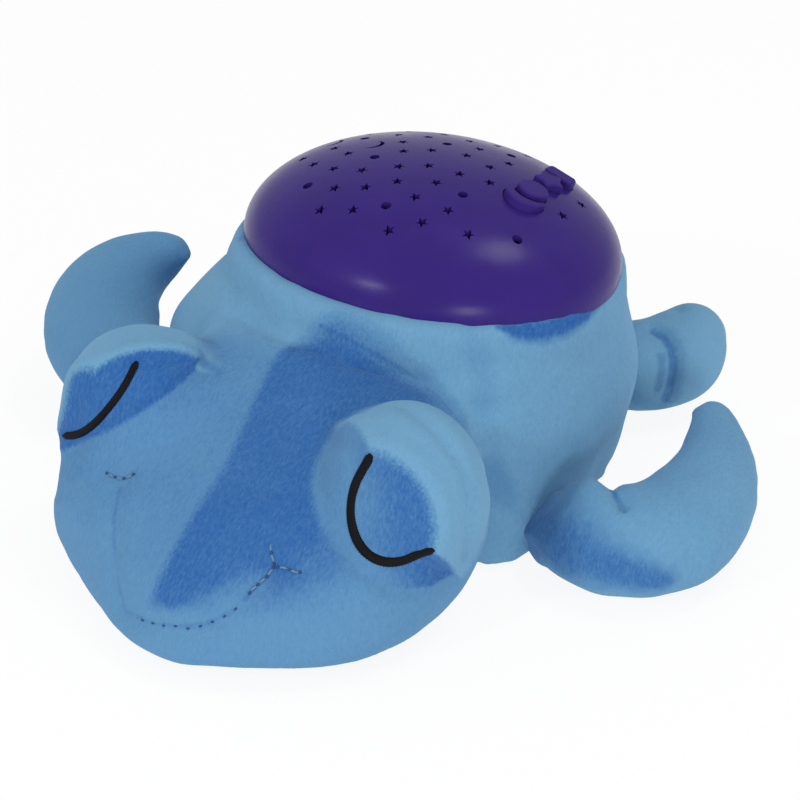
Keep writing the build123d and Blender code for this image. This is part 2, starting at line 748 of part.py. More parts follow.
with BuildPart() as battery_contacts:
    for side, joined, alone in ((1, cell_rows[1:], cell_rows[0]), (-1, cell_rows[:-1], cell_rows[-1])):
        middle = (joined[0] + joined[-1]) / 2
        with BuildSketch(Plane.YZ.offset(side * wall_x)):
            with Locations((middle, cell_z)):
                Rectangle(joined[-1] - joined[0] + CONTACT_SIZE, CONTACT_SIZE)
            with Locations((alone, cell_z)):
                Rectangle(CONTACT_SIZE, CONTACT_SIZE)
            with Locations((alone, cell_z)):
                Rectangle(TAB_WIDTH, roof_top + TAB_RISE - cell_z, align=(Align.CENTER, Align.MIN))
        extrude(amount=-side * CONTACT_THICK)
    for i, y in enumerate(cell_rows):
        side = -1 if i % 2 == 0 else 1
        foot = side * (wall_x - CONTACT_THICK)
        crest = foot - side * (SPRING_ROOM - PAD_GAP)
        with BuildSketch(Plane.XY.offset(cell_z)):
            with BuildLine():
                ThreePointArc((foot, y - SPRING_BOW), (crest, y), (foot, y + SPRING_BOW))
                Line((foot, y + SPRING_BOW), (foot, y + SPRING_BOW - 2 * CONTACT_THICK))
                ThreePointArc(
                    (foot, y + SPRING_BOW - 2 * CONTACT_THICK),
                    (crest + side * CONTACT_THICK, y),
                    (foot, y - SPRING_BOW + 2 * CONTACT_THICK),
                )
                Line((foot, y - SPRING_BOW + 2 * CONTACT_THICK), (foot, y - SPRING_BOW))
            make_face()
        extrude(amount=SPRING_WIDTH / 2, both=True)
write(battery_contacts.part, "battery_contacts")

# Light column, its board and screws, three lamps
with BuildPart() as light_column:
    with BuildSketch(Plane.XY.offset(column_z)):
        SlotOverall(COLUMN_FOOT_LENGTH, COLUMN_FOOT_WIDTH)
    extrude(amount=COLUMN_FOOT)
    with BuildSketch(Plane.XY.offset(column_z)):
        Circle(COLUMN_RADIUS)
    extrude(amount=COLUMN_TOP - column_z)
    with BuildSketch(Plane.XY.offset(COLUMN_TOP)):
        Circle(COLUMN_HEAD_RADIUS)
    extrude(amount=-COLUMN_HEAD)
    with BuildSketch(Plane.XY.offset(column_z)):
        Circle(COLUMN_RADIUS - COLUMN_WALL)
    extrude(amount=COLUMN_TOP - column_z, mode=Mode.SUBTRACT)
    with BuildSketch(Plane.XY.offset(column_z)):
        with Locations(*foot_places):
            Circle(SCREW_RADIUS + SCREW_HOLE)
    extrude(amount=COLUMN_FOOT, mode=Mode.SUBTRACT)
    with BuildSketch(Plane.XY.offset(COLUMN_TOP)):
        with GridLocations(LED_BOARD_SCREW_SPAN, 0, 2, 1):
            Circle(SCREW_RADIUS + SCREW_FIT)
    extrude(amount=-COLUMN_HEAD, mode=Mode.SUBTRACT)
write(light_column.part, "light_column")
foot_top = column_z + COLUMN_FOOT
write(screws([Plane(origin=(x, y, foot_top)) for x, y in foot_places]), "column_screws")

with BuildPart() as led_board:
    with BuildSketch(Plane.XY.offset(COLUMN_TOP)):
        Circle(LED_BOARD_RADIUS)
        with GridLocations(LED_BOARD_SCREW_SPAN, 0, 2, 1):
            Circle(SCREW_RADIUS + SCREW_HOLE, mode=Mode.SUBTRACT)
    extrude(amount=BOARD_THICK)
write(led_board.part, "led_board")
half_span = LED_BOARD_SCREW_SPAN / 2
write(screws([Plane(origin=(x, 0, led_top)) for x in (-half_span, half_span)]), "led_board_screws")

for i, name in enumerate(("led_amber", "led_green", "led_blue")):
    angle = math.radians(90 + 120 * i)
    place = (LED_RING * math.cos(angle), LED_RING * math.sin(angle))
    with BuildPart() as led:
        with BuildSketch(Plane.XY.offset(led_top)):
            with Locations(place):
                Circle(LED_FLANGE_RADIUS)
        extrude(amount=LED_FLANGE)
        with BuildSketch(Plane.XY.offset(led_top)):
            with Locations(place):
                Circle(LED_RADIUS)
        extrude(amount=LED_BODY)
        chamfer(led.faces().sort_by(Axis.Z)[-1].edges(), LED_CROWN)
    write(led.part, name)

# Wires: two from the battery contacts to the lamps' board, a ribbon from there to the keypad
with BuildPart() as battery_wires:
    for x, y in tab_places:
        side = math.copysign(1, x)
        tab_top = roof_top + TAB_RISE
        under_led = (side * WIRE_RING, 0, COLUMN_TOP)
        with BuildLine() as route:
            FilletPolyline(
                (x, y, tab_top),
                (x, y, tab_top + WIRE_RUN),
                (side * WIRE_RING, 0, COLUMN_TOP - WIRE_RUN),
                under_led,
                radius=WIRE_BEND,
            )
        with BuildSketch(Plane(origin=(x, y, tab_top))):
            RegularPolygon(WIRE_RADIUS, WIRE_SIDES)
        sweep(path=route.line)
write(battery_wires.part, "battery_wires")

with BuildPart() as keypad_ribbon:
    leave = key_plane.from_local_coords(Vector(RIBBON_ACROSS, -KEY_Y, key_board_under))
    turn = leave - key_normal * RIBBON_DROP
    with BuildLine() as route:
        FilletPolyline(
            leave,
            turn,
            (RIBBON_END_X, turn.Y, led_top + RIBBON_RISE),
            (RIBBON_END_X, turn.Y, led_top),
            radius=RIBBON_BEND,
        )
    with BuildSketch(Plane(origin=leave, x_dir=(0, 1, 0), z_dir=-key_normal)):
        Rectangle(RIBBON_WIDTH, RIBBON_THICK)
    sweep(path=route.line)
write(keypad_ribbon.part, "keypad_ribbon")
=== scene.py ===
import math

import bmesh
import bpy
import numpy as np
from mathutils import Matrix, Vector, noise
from mathutils.bvhtree import BVHTree


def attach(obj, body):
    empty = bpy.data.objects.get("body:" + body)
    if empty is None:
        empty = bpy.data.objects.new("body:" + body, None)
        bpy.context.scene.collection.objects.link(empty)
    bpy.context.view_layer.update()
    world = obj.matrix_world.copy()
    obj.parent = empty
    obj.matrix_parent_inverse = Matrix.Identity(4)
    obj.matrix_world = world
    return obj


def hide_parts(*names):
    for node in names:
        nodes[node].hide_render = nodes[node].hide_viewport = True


# Looks of the turtle night light: plush with nap, seams and stitches over the CAD forms, and a
# satin purple shell. Tables of points, widths and depths are in millimetres, as in the part's
# source. Other lengths are in metres.
MM = 0.001

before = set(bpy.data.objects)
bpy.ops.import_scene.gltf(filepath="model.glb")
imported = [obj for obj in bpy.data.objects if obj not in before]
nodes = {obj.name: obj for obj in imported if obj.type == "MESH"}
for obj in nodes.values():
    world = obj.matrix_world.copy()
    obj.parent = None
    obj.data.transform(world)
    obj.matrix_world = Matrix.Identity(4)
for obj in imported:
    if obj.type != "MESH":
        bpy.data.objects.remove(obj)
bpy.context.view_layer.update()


def linked(name, data):
    """A new object in the scene."""
    piece = bpy.data.objects.new(name, data)
    bpy.context.scene.collection.objects.link(piece)
    return piece


# Camera: the photograph's view, with angles in degrees
CAMERA_AZIMUTH = 28
CAMERA_ELEVATION = 29
CAMERA_ROLL = 4
CAMERA_DISTANCE = 0.900
CAMERA_TARGET = Vector((-0.0092, 0, 0.015))
SENSOR_WIDTH = 36
PICTURE_WIDTH = 800
FOCAL_LENGTH = 2220  # in pixels of the picture


def add_camera():
    azimuth = math.radians(CAMERA_AZIMUTH)
    elevation = math.radians(CAMERA_ELEVATION)
    roll = math.radians(CAMERA_ROLL)
    back = Vector((
        math.sin(azimuth) * math.cos(elevation),
        -math.cos(azimuth) * math.cos(elevation),
        math.sin(elevation),
    ))
    level = Vector((math.cos(azimuth), math.sin(azimuth), 0))
    steep = back.cross(level)
    right = level * math.cos(roll) + steep * math.sin(roll)
    up = steep * math.cos(roll) - level * math.sin(roll)
    data = bpy.data.cameras.new("camera")
    data.sensor_width = SENSOR_WIDTH
    data.lens = SENSOR_WIDTH * FOCAL_LENGTH / PICTURE_WIDTH
    camera = linked("camera", data)
    turn = Matrix((right, up, back)).transposed().to_4x4()
    camera.matrix_world = Matrix.Translation(CAMERA_TARGET + back * CAMERA_DISTANCE) @ turn
    bpy.context.scene.camera = camera


add_camera()


# Materials
def srgb(red, green, blue):
    """A colour given as 0 to 255, as the shader wants it."""
    def line(value):
        value /= 255
        return value / 12.92 if value <= 0.04045 else ((value + 0.055) / 1.055) ** 2.4
    return (line(red), line(green), line(blue), 1)


def dimmed(colour, share):
    return tuple(share * value for value in colour[:3]) + (1,)


class Nodes:
    """A material's node tree, with short ways to add and join nodes."""

    def __init__(self, name):
        self.material = bpy.data.materials.new(name)
        self.material.use_nodes = True
        self.tree = self.material.node_tree
        self.shader = self.tree.nodes["Principled BSDF"]
        self.place = self.add("ShaderNodeTexCoord").outputs["Object"]

    def add(self, kind, **values):
        node = self.tree.nodes.new(kind)
        for name, value in values.items():
            setattr(node, name, value)
        return node

    def put(self, socket, value):
        if isinstance(value, bpy.types.NodeSocket):
            self.tree.links.new(value, socket)
        else:
            socket.default_value = value

    def fed(self, node, *values):
        """A node with values for its first sockets."""
        for socket, value in zip(node.inputs, values):
            self.put(socket, value)
        return node

    def math(self, operation, *values, clamp=False):
        node = self.add("ShaderNodeMath", operation=operation, use_clamp=clamp)
        return self.fed(node, *values).outputs[0]

    def centred(self, share):
        """A share from 0 to 1, as a change about zero."""
        return self.math("SUBTRACT", share, 0.5)

    def rest(self, share):
        return self.math("SUBTRACT", 1, share)

    def added(self, value, change, amount):
        """A value with some amount of a change."""
        return self.math("ADD", value, self.math("MULTIPLY", change, amount))

    def blend(self, share, value, other):
        """A share of one value, and of another what is left."""
        left = self.math("MULTIPLY", self.rest(share), other)
        return self.math("ADD", self.math("MULTIPLY", share, value), left)

    def vector(self, operation, *values):
        return self.fed(self.add("ShaderNodeVectorMath", operation=operation), *values).outputs

    def dot(self, vector, direction):
        return self.vector("DOT_PRODUCT", vector, direction)["Value"]

    def away(self, vector, point):
        return self.vector("SUBTRACT", vector, point)["Vector"]

    def length(self, vector):
        return self.vector("LENGTH", vector)["Value"]

    def scaled(self, vector, share):
        node = self.add("ShaderNodeVectorMath", operation="SCALE")
        self.put(node.inputs["Vector"], vector)
        self.put(node.inputs["Scale"], share)
        return node.outputs["Vector"]

    def axes(self):
        """The place's x, y and z."""
        node = self.fed(self.add("ShaderNodeSeparateXYZ"), self.place)
        return [node.outputs[axis] for axis in "XYZ"]

    def ramp(self, value, low, high, start=0.0, end=1.0):
        """Goes smoothly from start to end as a value goes from low to high."""
        node = self.add("ShaderNodeMapRange", interpolation_type="SMOOTHSTEP")
        numbers = {"Value": value, "From Min": low, "From Max": high, "To Min": start, "To Max": end}
        for name, number in numbers.items():
            self.put(node.inputs[name], number)
        return node.outputs["Result"]

    def noise(self, size, detail=2.0, rough=0.5, stretch=None):
        """Noise of about one grain in size metres."""
        vector = self.place
        if stretch:
            mapping = self.add("ShaderNodeMapping")
            mapping.inputs["Scale"].default_value = stretch
            self.put(mapping.inputs["Vector"], vector)
            vector = mapping.outputs["Vector"]
        node = self.add("ShaderNodeTexNoise")
        self.put(node.inputs["Vector"], vector)
        node.inputs["Scale"].default_value = 1 / size
        node.inputs["Detail"].default_value = detail
        node.inputs["Roughness"].default_value = rough
        return node.outputs["Fac"]

    def mix(self, share, first, second):
        node = self.add("ShaderNodeMix", data_type="RGBA")
        self.put(node.inputs["Factor"], share)
        self.put(node.inputs["A"], first)
        self.put(node.inputs["B"], second)
        return node.outputs["Result"]

    def bump(self, height, depth, strength, normal=None):
        node = self.add("ShaderNodeBump")
        node.inputs["Strength"].default_value = strength
        node.inputs["Distance"].default_value = depth
        self.put(node.inputs["Height"], height)
        if normal:
            self.put(node.inputs["Normal"], normal)
        return node.outputs["Normal"]

    def finish(self, colour, roughness, normal, **sockets):
        self.put(self.shader.inputs["Base Color"], colour)
        self.put(self.shader.inputs["Roughness"], roughness)
        self.put(self.shader.inputs["Normal"], normal)
        for name, value in sockets.items():
            self.put(self.shader.inputs[name.replace("_", " ")], value)
        return self.material


PLUSH = srgb(94, 142, 181)
PLUSH_LIGHT = srgb(110, 158, 191)
PLUSH_DARK = srgb(38, 90, 158)
SHEEN_TINT = srgb(176, 208, 236)
# How far soft patches change the share of the dark colour, and streaks on light and on dark nap
PATCH_CHANGE = 0.22
STREAK_CHANGE = (0.62, 0.95)
STREAK_STRETCH = (1, 0.35, 0.35)
# Shares of the dark colour between which streaks grow, the light colour goes over into the plain one, and
# the plain one into the dark one
LIGHT_TO_DARK = (0.2, 0.9)
LIGHT_TO_PLAIN = (-0.25, 0.30)
PLAIN_TO_DARK = (0.15, 1.35)


def plush(name, shade):
    """Short-pile plush. shade gives, from the material's nodes, the share of dark nap and painted shade."""
    n = Nodes(name)
    patch = n.noise(size=0.026, detail=3)
    streak = n.noise(size=0.0008, detail=3, rough=0.7, stretch=STREAK_STRETCH)
    fibre = n.noise(size=0.0005, detail=2, rough=0.6)
    dark = shade(n)
    streak_change = n.ramp(dark, *LIGHT_TO_DARK, *STREAK_CHANGE)
    dark = n.added(dark, n.centred(patch), PATCH_CHANGE)
    dark = n.added(dark, n.centred(streak), streak_change)
    colour = n.mix(n.ramp(dark, *LIGHT_TO_PLAIN), PLUSH_LIGHT, PLUSH)
    colour = n.mix(n.ramp(dark, *PLAIN_TO_DARK), colour, PLUSH_DARK)
    normal = n.bump(patch, depth=0.0010, strength=0.4)
    normal = n.bump(streak, depth=0.0006, strength=0.6, normal=normal)
    normal = n.bump(fibre, depth=0.0003, strength=0.5, normal=normal)
    return n.finish(
        colour, roughness=0.95, normal=normal,
        Specular_IOR_Level=0.08, Sheen_Weight=0.25, Sheen_Roughness=0.4, Sheen_Tint=SHEEN_TINT,
    )


def satin_plastic(name, colour, rough, shine=0.5):
    """Moulded plastic with a fine grain, and slow changes of tint and gloss."""
    n = Nodes(name)
    slow = n.noise(size=0.030, detail=3)
    fine = n.noise(size=0.0006, detail=2)
    tint = n.mix(n.ramp(slow, low=0.35, high=0.65), dimmed(colour, 0.90), colour)
    roughness = n.ramp(slow, low=0.3, high=0.7, start=rough - 0.04, end=rough + 0.05)
    return n.finish(tint, roughness, n.bump(fine, depth=0.00004, strength=0.6), Specular_IOR_Level=shine)


def bare_metal(name, colour, rough):
    """Metal with fine scratches along one way."""
    n = Nodes(name)
    scratch = n.noise(size=0.0015, detail=3, rough=0.6, stretch=(1, 8, 1))
    roughness = n.ramp(scratch, low=0.2, high=0.8, start=rough - 0.08, end=rough + 0.10)
    return n.finish(colour, roughness, n.bump(scratch, depth=0.00003, strength=0.5), Metallic=1.0)


def thread(name, colour):
    """Twisted sewing thread."""
    n = Nodes(name)
    twist = n.noise(size=0.0005, detail=2, rough=0.6)
    tint = n.mix(n.ramp(twist, low=0.35, high=0.65), dimmed(colour, 0.6), colour)
    normal = n.bump(twist, depth=0.0002, strength=0.6)
    return n.finish(tint, roughness=0.6, normal=normal, Specular_IOR_Level=0.12)


# Soft forms: even quads over the solids, filled in a cloth simulation
VOXEL = 0.0045
# Evening out a surface: rounds, step, and step back
EVEN_ROUNDS = 14
EVEN_STEP = 0.5
EVEN_BACK = 0.51
# Filling: how far inside its form a skin starts, and how far a point may move
STUFF_START = 0.0010
STUFF_PRESSURE = 6.0
STUFF_STEPS = 20
STUFF_CAP = 0.0040
# Next to larger and hard pieces, a skin is held
HELD_REACH = 0.012
HELD_GAIN = 1.6
# Pile over the stuffed skin, and lumps of the stuffing: height, size and a number for their place
PILE = 0.0012
LUMPS = [(0.0006, 0.030, 0), (0.0003, 0.010, 20)]
LUMP_SHIFT = (3.7, 1.9, 5.3)
# Lines through points: steps from point to point, then even samples
SPLINE_STEPS = 24
LINE_STEP = 0.0006
LINE_STRIDE = 4  # distances are measured to every fourth sample of a line


def bake(piece):
    """Applies a piece's modifiers to its mesh."""
    bpy.context.view_layer.update()
    graph = bpy.context.evaluated_depsgraph_get()
    mesh = bpy.data.meshes.new_from_object(piece.evaluated_get(graph))
    piece.modifiers.clear()
    piece.data = mesh


def points_of(piece):
    """Places and normals of a piece's points."""
    count = len(piece.data.vertices)
    places, normals = np.zeros(3 * count), np.zeros(3 * count)
    piece.data.vertices.foreach_get("co", places)
    piece.data.vertices.foreach_get("normal", normals)
    return places.reshape(-1, 3), normals.reshape(-1, 3)


def move_to(piece, places):
    piece.data.vertices.foreach_set("co", places.ravel())
    piece.data.update()


def shade_smooth(mesh):
    for polygon in mesh.polygons:
        polygon.use_smooth = True


def tree_of(*pieces):
    """One search tree over the faces of some pieces."""
    corners, faces = [], []
    for piece in pieces:
        start = len(corners)
        corners += [v.co.copy() for v in piece.data.vertices]
        faces += [[start + i for i in p.vertices] for p in piece.data.polygons]
    return BVHTree.FromPolygons(corners, faces)


def skin(name, parts):
    """A new piece of even quads over the form of some soft CAD nodes."""
    made = bmesh.new()
    for part in parts:
        made.from_mesh(nodes[part].data)
    mesh = bpy.data.meshes.new(name)
    made.to_mesh(mesh)
    made.free()
    piece = linked(name, mesh)
    remesh = piece.modifiers.new("remesh", "REMESH")
    remesh.mode = "VOXEL"
    remesh.voxel_size = VOXEL
    remesh.use_smooth_shade = True
    bake(piece)
    return piece


def relax(piece, rounds, share=None, back=0.0):
    """Evens out a surface, each point towards the middle of its neighbours, by a share from 0 to 1.
    With a step back after each round, the form keeps its size."""
    places, _ = points_of(piece)
    ends = np.zeros(2 * len(piece.data.edges), int)
    piece.data.edges.foreach_get("vertices", ends)
    one, two = ends.reshape(-1, 2).T
    count = np.bincount(ends, minlength=len(places))[:, None]
    share = np.ones(len(places)) if share is None else share
    steps = [EVEN_STEP, -back] if back else [EVEN_STEP]
    for step in steps * rounds:
        total = np.zeros_like(places)
        np.add.at(total, one, places[two])
        np.add.at(total, two, places[one])
        places += step * share[:, None] * (total / count - places)
    move_to(piece, places)


def near_share(places, tree, reach):
    """1 on the surface of some pieces, 0 further away than reach."""
    share = np.zeros(len(places))
    for i, place in enumerate(places):
        far = tree.find_nearest(Vector(place), reach)[3]
        if far is not None:
            share[i] = 1 - far / reach
    return share


def stuff(piece, held):
    """Fills a skin with a cloth simulation under pressure. held is each point's share that stays put."""
    rest, normals = points_of(piece)
    move_to(piece, rest - STUFF_START * (1 - held[:, None]) * normals)
    start, _ = points_of(piece)
    pins = piece.vertex_groups.new(name="held")
    for i, share in enumerate(held):
        if share > 0:
            pins.add([i], share, "REPLACE")
    cloth = piece.modifiers.new("cloth", "CLOTH")
    cloth.settings.quality = 6
    cloth.settings.mass = 0.1
    cloth.settings.use_pressure = True
    cloth.settings.uniform_pressure_force = STUFF_PRESSURE
    cloth.settings.effector_weights.gravity = 0
    cloth.settings.vertex_group_mass = pins.name
    cloth.collision_settings.use_collision = False
    for step in range(1, STUFF_STEPS + 1):
        bpy.context.scene.frame_set(step)
    bake(piece)
    bpy.context.scene.frame_set(1)
    moved = points_of(piece)[0] - start
    far = np.linalg.norm(moved, axis=1)
    move_to(piece, start + moved * (STUFF_CAP / np.maximum(far, STUFF_CAP))[:, None])
    piece.vertex_groups.clear()


def divide(piece):
    finer = piece.modifiers.new("divide", "SUBSURF")
    finer.levels = 1
    bake(piece)


def lumps(places, size, seed):
    """Soft unevenness of stuffing, from -1 to 1."""
    shift = Vector([seed * step for step in LUMP_SHIFT])
    return np.array([noise.noise(Vector(p) / size + shift) for p in places])


def lengths_along(line):
    """Length of a line up to each of its points."""
    return np.concatenate([[0], np.cumsum(np.linalg.norm(np.diff(line, axis=0), axis=1))])


def sampled(rows, along, spots):
    """Rows of a line's numbers, at some lengths along it."""
    return np.column_stack([np.interp(spots, along, rows[:, k]) for k in range(3)])


def smooth_line(points, step=LINE_STEP):
    """Points in millimetres as a smooth curve in metres, sampled evenly."""
    p = np.array(points, float) * MM
    ends = np.vstack([2 * p[0] - p[1], p, 2 * p[-1] - p[-2]])
    t = np.linspace(0, 1, SPLINE_STEPS, endpoint=False)[:, None]
    fine = []
    for a, b, c, d in zip(ends, ends[1:], ends[2:], ends[3:]):
        square = 2 * a - 5 * b + 4 * c - d
        cube = 3 * b - a - 3 * c + d
        fine.append(0.5 * (2 * b + (c - a) * t + square * t**2 + cube * t**3))
    fine = np.vstack(fine + [p[-1:]])
    along = lengths_along(fine)
    return sampled(fine, along, np.linspace(0, along[-1], max(3, int(along[-1] / step))))


def nearness(places, line, width):
    """1 on a line and 0 away from it."""
    best = np.full(len(places), np.inf)
    for spot in line[::LINE_STRIDE]:
        best = np.minimum(best, ((places - spot) ** 2).sum(1))
    return np.exp(-best / width**2)


def draped(line, tree):
    """A line laid on a surface: places and normals."""
    found = [tree.find_nearest(Vector(p)) for p in line]
    return np.array([f[0] for f in found]), np.array([f[1] for f in found])


# Face: points on the solids
MOUTH = [
    (-34.9, -155.3, 41.5), (-34.3, -159.6, 39), (-30.6, -165.1, 35.9), (-25.7, -172.1, 30.5),
    (-21.2, -178, 24.5), (-16.8, -182.5, 19), (-11.2, -185.2, 15.5), (-4.8, -187.2, 16.1),
    (1.9, -188, 17.2), (6.5, -187.7, 17.9), (12, -186.2, 18.9), (15.5, -185.2, 18.9),
    (20.2, -182.5, 21), (24.2, -179.7, 23.4), (27.3, -176.5, 26), (29.3, -173, 29.6),
    (30.7, -169.6, 32.8), (32.6, -165.4, 35.3), (33.4, -161.1, 38),
]
STITCHED_FROM, ROPED_FROM = 7, 15  # points where the mouth's thin stitches and its rope begin
MOUTH_CORNERS = [
    [
        (-43.7, -152.3, 43.3), (-40.2, -153, 43.3), (-35.9, -153, 43.6), (-32.8, -151.2, 44.6),
        (-31.3, -148.6, 45.9),
    ],
    [(33.4, -161.1, 38), (31, -159.6, 40.5), (29.2, -157.7, 42.3), (28.5, -156, 43.7)],
    [(34, -161.4, 37.8), (37.6, -160.6, 38.2), (40.8, -160.1, 37.6), (43.1, -159.1, 38)],
]
EYE_ARCS = {
    "left": [
        (53, -134.5, 75.5), (50.8, -135.6, 70.6), (49.4, -138.5, 64.5), (49.3, -140.6, 57.6),
        (51, -142.3, 51.2), (54.9, -143.9, 45.5), (59.8, -144.1, 42.1), (64.1, -142.3, 40.5),
        (67.7, -139.6, 40.2), (71.7, -136.1, 41.8), (75.5, -134.2, 44.4), (78.7, -133.7, 47.1),
    ],
    "right": [
        (-44.7, -132.2, 78.4), (-43.7, -135.8, 76.1), (-43.8, -138.8, 73.4), (-44.8, -141.3, 70),
        (-46.8, -143.8, 65.7), (-49.4, -145.5, 61.6), (-52.9, -146.1, 56.8), (-57.5, -145.2, 51.9),
        (-61.8, -144.1, 48), (-66.8, -142.2, 45.1),
    ],
}

# Eye mounds in millimetres: middle, the way that each looks in degrees, and half sizes across, along
# that way and upright
SIGNS = {"left": 1, "right": -1}  # of x on each side
EYE_MIDDLES = {"left": (56.5, -116, 50), "right": (-51.5, -122, 50)}
EYE_WAYS = {"left": 27, "right": -21}
EYE_HALVES = (28, 30, 34)
# Edge of each eyelid in millimetres: how far forward it lies, where it starts to turn back towards the
# middle of the head and how steeply, and the same towards the floor
LIDS = {"left": (-134, 52, 0.75, 46, 1.0), "right": (-141, 56, 1.0, 40, 1.0)}
# Where the edge ends, as a share of the mound's size, and over which share it fades there
LID_ENDS = {"left": 1.25, "right": 1.12}
LID_FADE = 0.1
# Swell along the edge, and the dip before it: height, distance behind the edge and width
LID_SWELL = (0.0024, 0.0040, 0.004)
LID_DIP = (0.0006, -0.002, 0.0025)
# Plane under which each eye's front goes over into the head: normal, and distance in millimetres
EYE_FEET = {"left": ((0.439, -0.013, 0.898), 60.6), "right": ((-0.58, -0.142, 0.802), 92.5)}
FOOT_BLEND = 0.004
# The head under the right eye is evened out, around the mound and down from its foot
FOOT_ROUNDS = 45
FOOT_AROUND = 1.35
FOOT_DOWN = 0.040
FOOT_FADE = 0.010

# Share of the dark colour in each region
HEAD_SHADE = 0.54
CHIN_SHADE = 0.34
BODY_SHADE = -0.05
LID_SHADE = -0.14
# Heights between which the chin goes over into the head, and places along the toy where the head ends
CHIN_TO_HEAD = (0.015, 0.050)
HEAD_TO_BODY = (-0.098, -0.078)
# On each eye's front, far from the lid and next to it, and how that changes outwards: slope and start
# Next to the lid each front is darker: painted shade under the lid's edge
EYE_SHADES = {"left": (0.45, 0.95), "right": (1.0, 1.05)}
EYE_SLOPES = {"left": (0.8, 0.066), "right": (0, 0)}
EYE_DEPTH = 0.026
# Edges of the nap on the eyes: how soft each is, and how far fibres fray it
FRAY_SIZE = 0.0010
MOUND_EDGE, MOUND_FRAY = (1.07, 1.23), 0.05
LID_EDGE, LID_FRAY = (-0.0012, 0.0012), 0.0022
FOOT_EDGE, FOOT_FRAY = (-0.0008, 0.0012), 0.002
# Dark stripe down the head: between two places along the head, its right edge goes from one x to another
STRIPE_ALONG = (-0.150, -0.085)
STRIPE_RIGHT = (-0.001, -0.012)
STRIPE_EDGE, STRIPE_FRAY = (-0.0026, 0.0026), 0.004
# To the left it fades, unevenly
STRIPE_GRAIN = 0.012
STRIPE_LEFT, STRIPE_LEFT_UNEVEN = (0.036, 0.062), 0.02
# Its lower end rises to the left and gets softer there, between two places across the head
STRIPE_LOW, STRIPE_LOW_SLOPE, STRIPE_LOW_UNEVEN = 0.0215, 0.10, 0.006
STRIPE_LOW_START = -0.002
STRIPE_LOW_ACROSS = (0.002, 0.030)
STRIPE_LOW_SOFT = (0.003, 0.014)
# Its rear end has one rounded corner
STRIPE_BACK, STRIPE_BACK_FRAY = (-0.079, -0.069), 0.005
STRIPE_CORNER, STRIPE_CORNER_ROUND = (-0.016, 0.004), 0.008
# Uneven edges of the strokes on the plush, most of them painted shade
STROKE_GRAIN = 0.004
STROKE_UNEVEN = 0.45
STROKE_EDGE = (0.2, 1.1)

# Lines on the plush. Those with four numbers have a half width at each point.
MUZZLE = [(4, -183, 15, 6), (18, -179, 22, 10), (30, -168, 31, 9)]
MUZZLE_LIGHT = 0.65
RIM_SHADOW = [
    (54, -48, 87, 2), (60, -43.5, 86, 5), (66, -36, 85, 6.5), (71, -25, 85, 6.5), (74.5, -14, 86, 5),
    (76.5, -2, 87, 3),
]
RIM_SHADOW_RIGHT = [(-60, -40, 86), (-52, -47, 85)]
NECK = [
    (-3.2, -76.3, 82.4), (7, -76.3, 80.3), (18.7, -75.4, 77.8), (29.8, -73.6, 74.7),
    (37.1, -72.1, 70.9), (47.6, -72.7, 66.4), (55.5, -73.9, 60.8), (64, -77, 53.5), (71.4, -84.2, 47.2),
]
# Painted shade of a small crease at the top of the neck
NECK_CREASE_SHADE = [(1.5, -70, 88), (-1, -72, 84)]
FOLDS = [
    [(47.6, -56, 81.8), (50, -56, 79.8), (53.7, -57, 74), (56.3, -58.3, 67.2), (57.7, -59.4, 61.9)],
    [(63.4, -63, 38.2), (65.9, -58, 28), (66.7, -54, 19.8)],
]
EYE_FOOT_LINES = [
    [
        (23.4, -106.9, 67.4), (22, -116.2, 63.6), (24.4, -122.4, 61.1), (28.7, -129.2, 58.8),
        (33.6, -135, 56.2), (38.5, -139.7, 53.3), (44.8, -143.9, 48.8), (51.6, -146.6, 43.9),
        (58.7, -147.8, 39.1), (63.9, -146, 35.7), (68.5, -143, 32.4), (72.4, -138.9, 30.2),
        (76, -132.8, 28.6),
    ],
    [
        (-34.8, -101.3, 72.4), (-31.7, -109.6, 72.6), (-30, -117.1, 72.4), (-29.5, -123.2, 71.6),
        (-30, -128, 70.3), (-32.6, -135, 67.4), (-38.4, -141.5, 63), (-45.3, -145.2, 58.8),
        (-50.3, -146.3, 54.9), (-55.1, -146.4, 50.1), (-62, -144.7, 42.4),
    ],
]
EYE_CORNER = [(-34, -127, 74.5, 4), (-32, -121, 75, 3.6), (-31, -114.5, 75.8, 2.2)]
EYE_TAIL = [(-32, -111, 75, 4), (-28.3, -109.7, 71.5, 4), (-25.7, -109.2, 70.3, 3)]
LID_BACK = [
    (50, -111, 82.8), (61.7, -114.9, 82.6), (71.6, -116.5, 77.7), (78.5, -116.3, 70),
    (82.9, -117.5, 59.9), (83.9, -119, 52.1), (83.8, -117, 43.9), (82.4, -109.4, 32),
]
FLIPPER_ROOT = [(78, -58, 21, 24), (98, -67, 21, 20)]
FLIPPER_EDGE = [(98, -67, 21, 20), (118, -68, 19, 13), (134, -60, 15, 8)]
FLIPPER_CROOK = [(94, -29, 24), (98, -35, 30), (101, -40, 33), (104, -43, 33.5)]
FLIPPER_FOLD = [
    (102.5, -42, 35), (106.7, -47.1, 35.6), (109.3, -49.9, 35.7), (111.6, -52.2, 35.5),
    (114, -54.8, 35),
]
FLIPPER_BACK = [(-118, -14, 44), (-112, -2, 46)]
FOOT_FOLD = [
    (67.8, 73.7, 39.3), (72.4, 73.2, 38.4), (77, 71, 35.6), (79.8, 68.5, 31.6), (80.8, 66.4, 25.9),
    (80.4, 65.7, 19.1), (79.9, 65.7, 14.6),
]
FOOT_PLEAT = [(75.2, 65.4, 34), (77, 63.4, 30.3), (77.5, 62.1, 25.9), (77.3, 61.6, 20.8)]
# Painted shade under the foot
FOOT_UNDER = [(70, 57.1, 16.1), (74.5, 63.2, 11.3), (77.7, 67.7, 9.5)]
FOOT_NOTCH = [(58, 98, 40), (64, 97, 42), (70, 94, 43)]


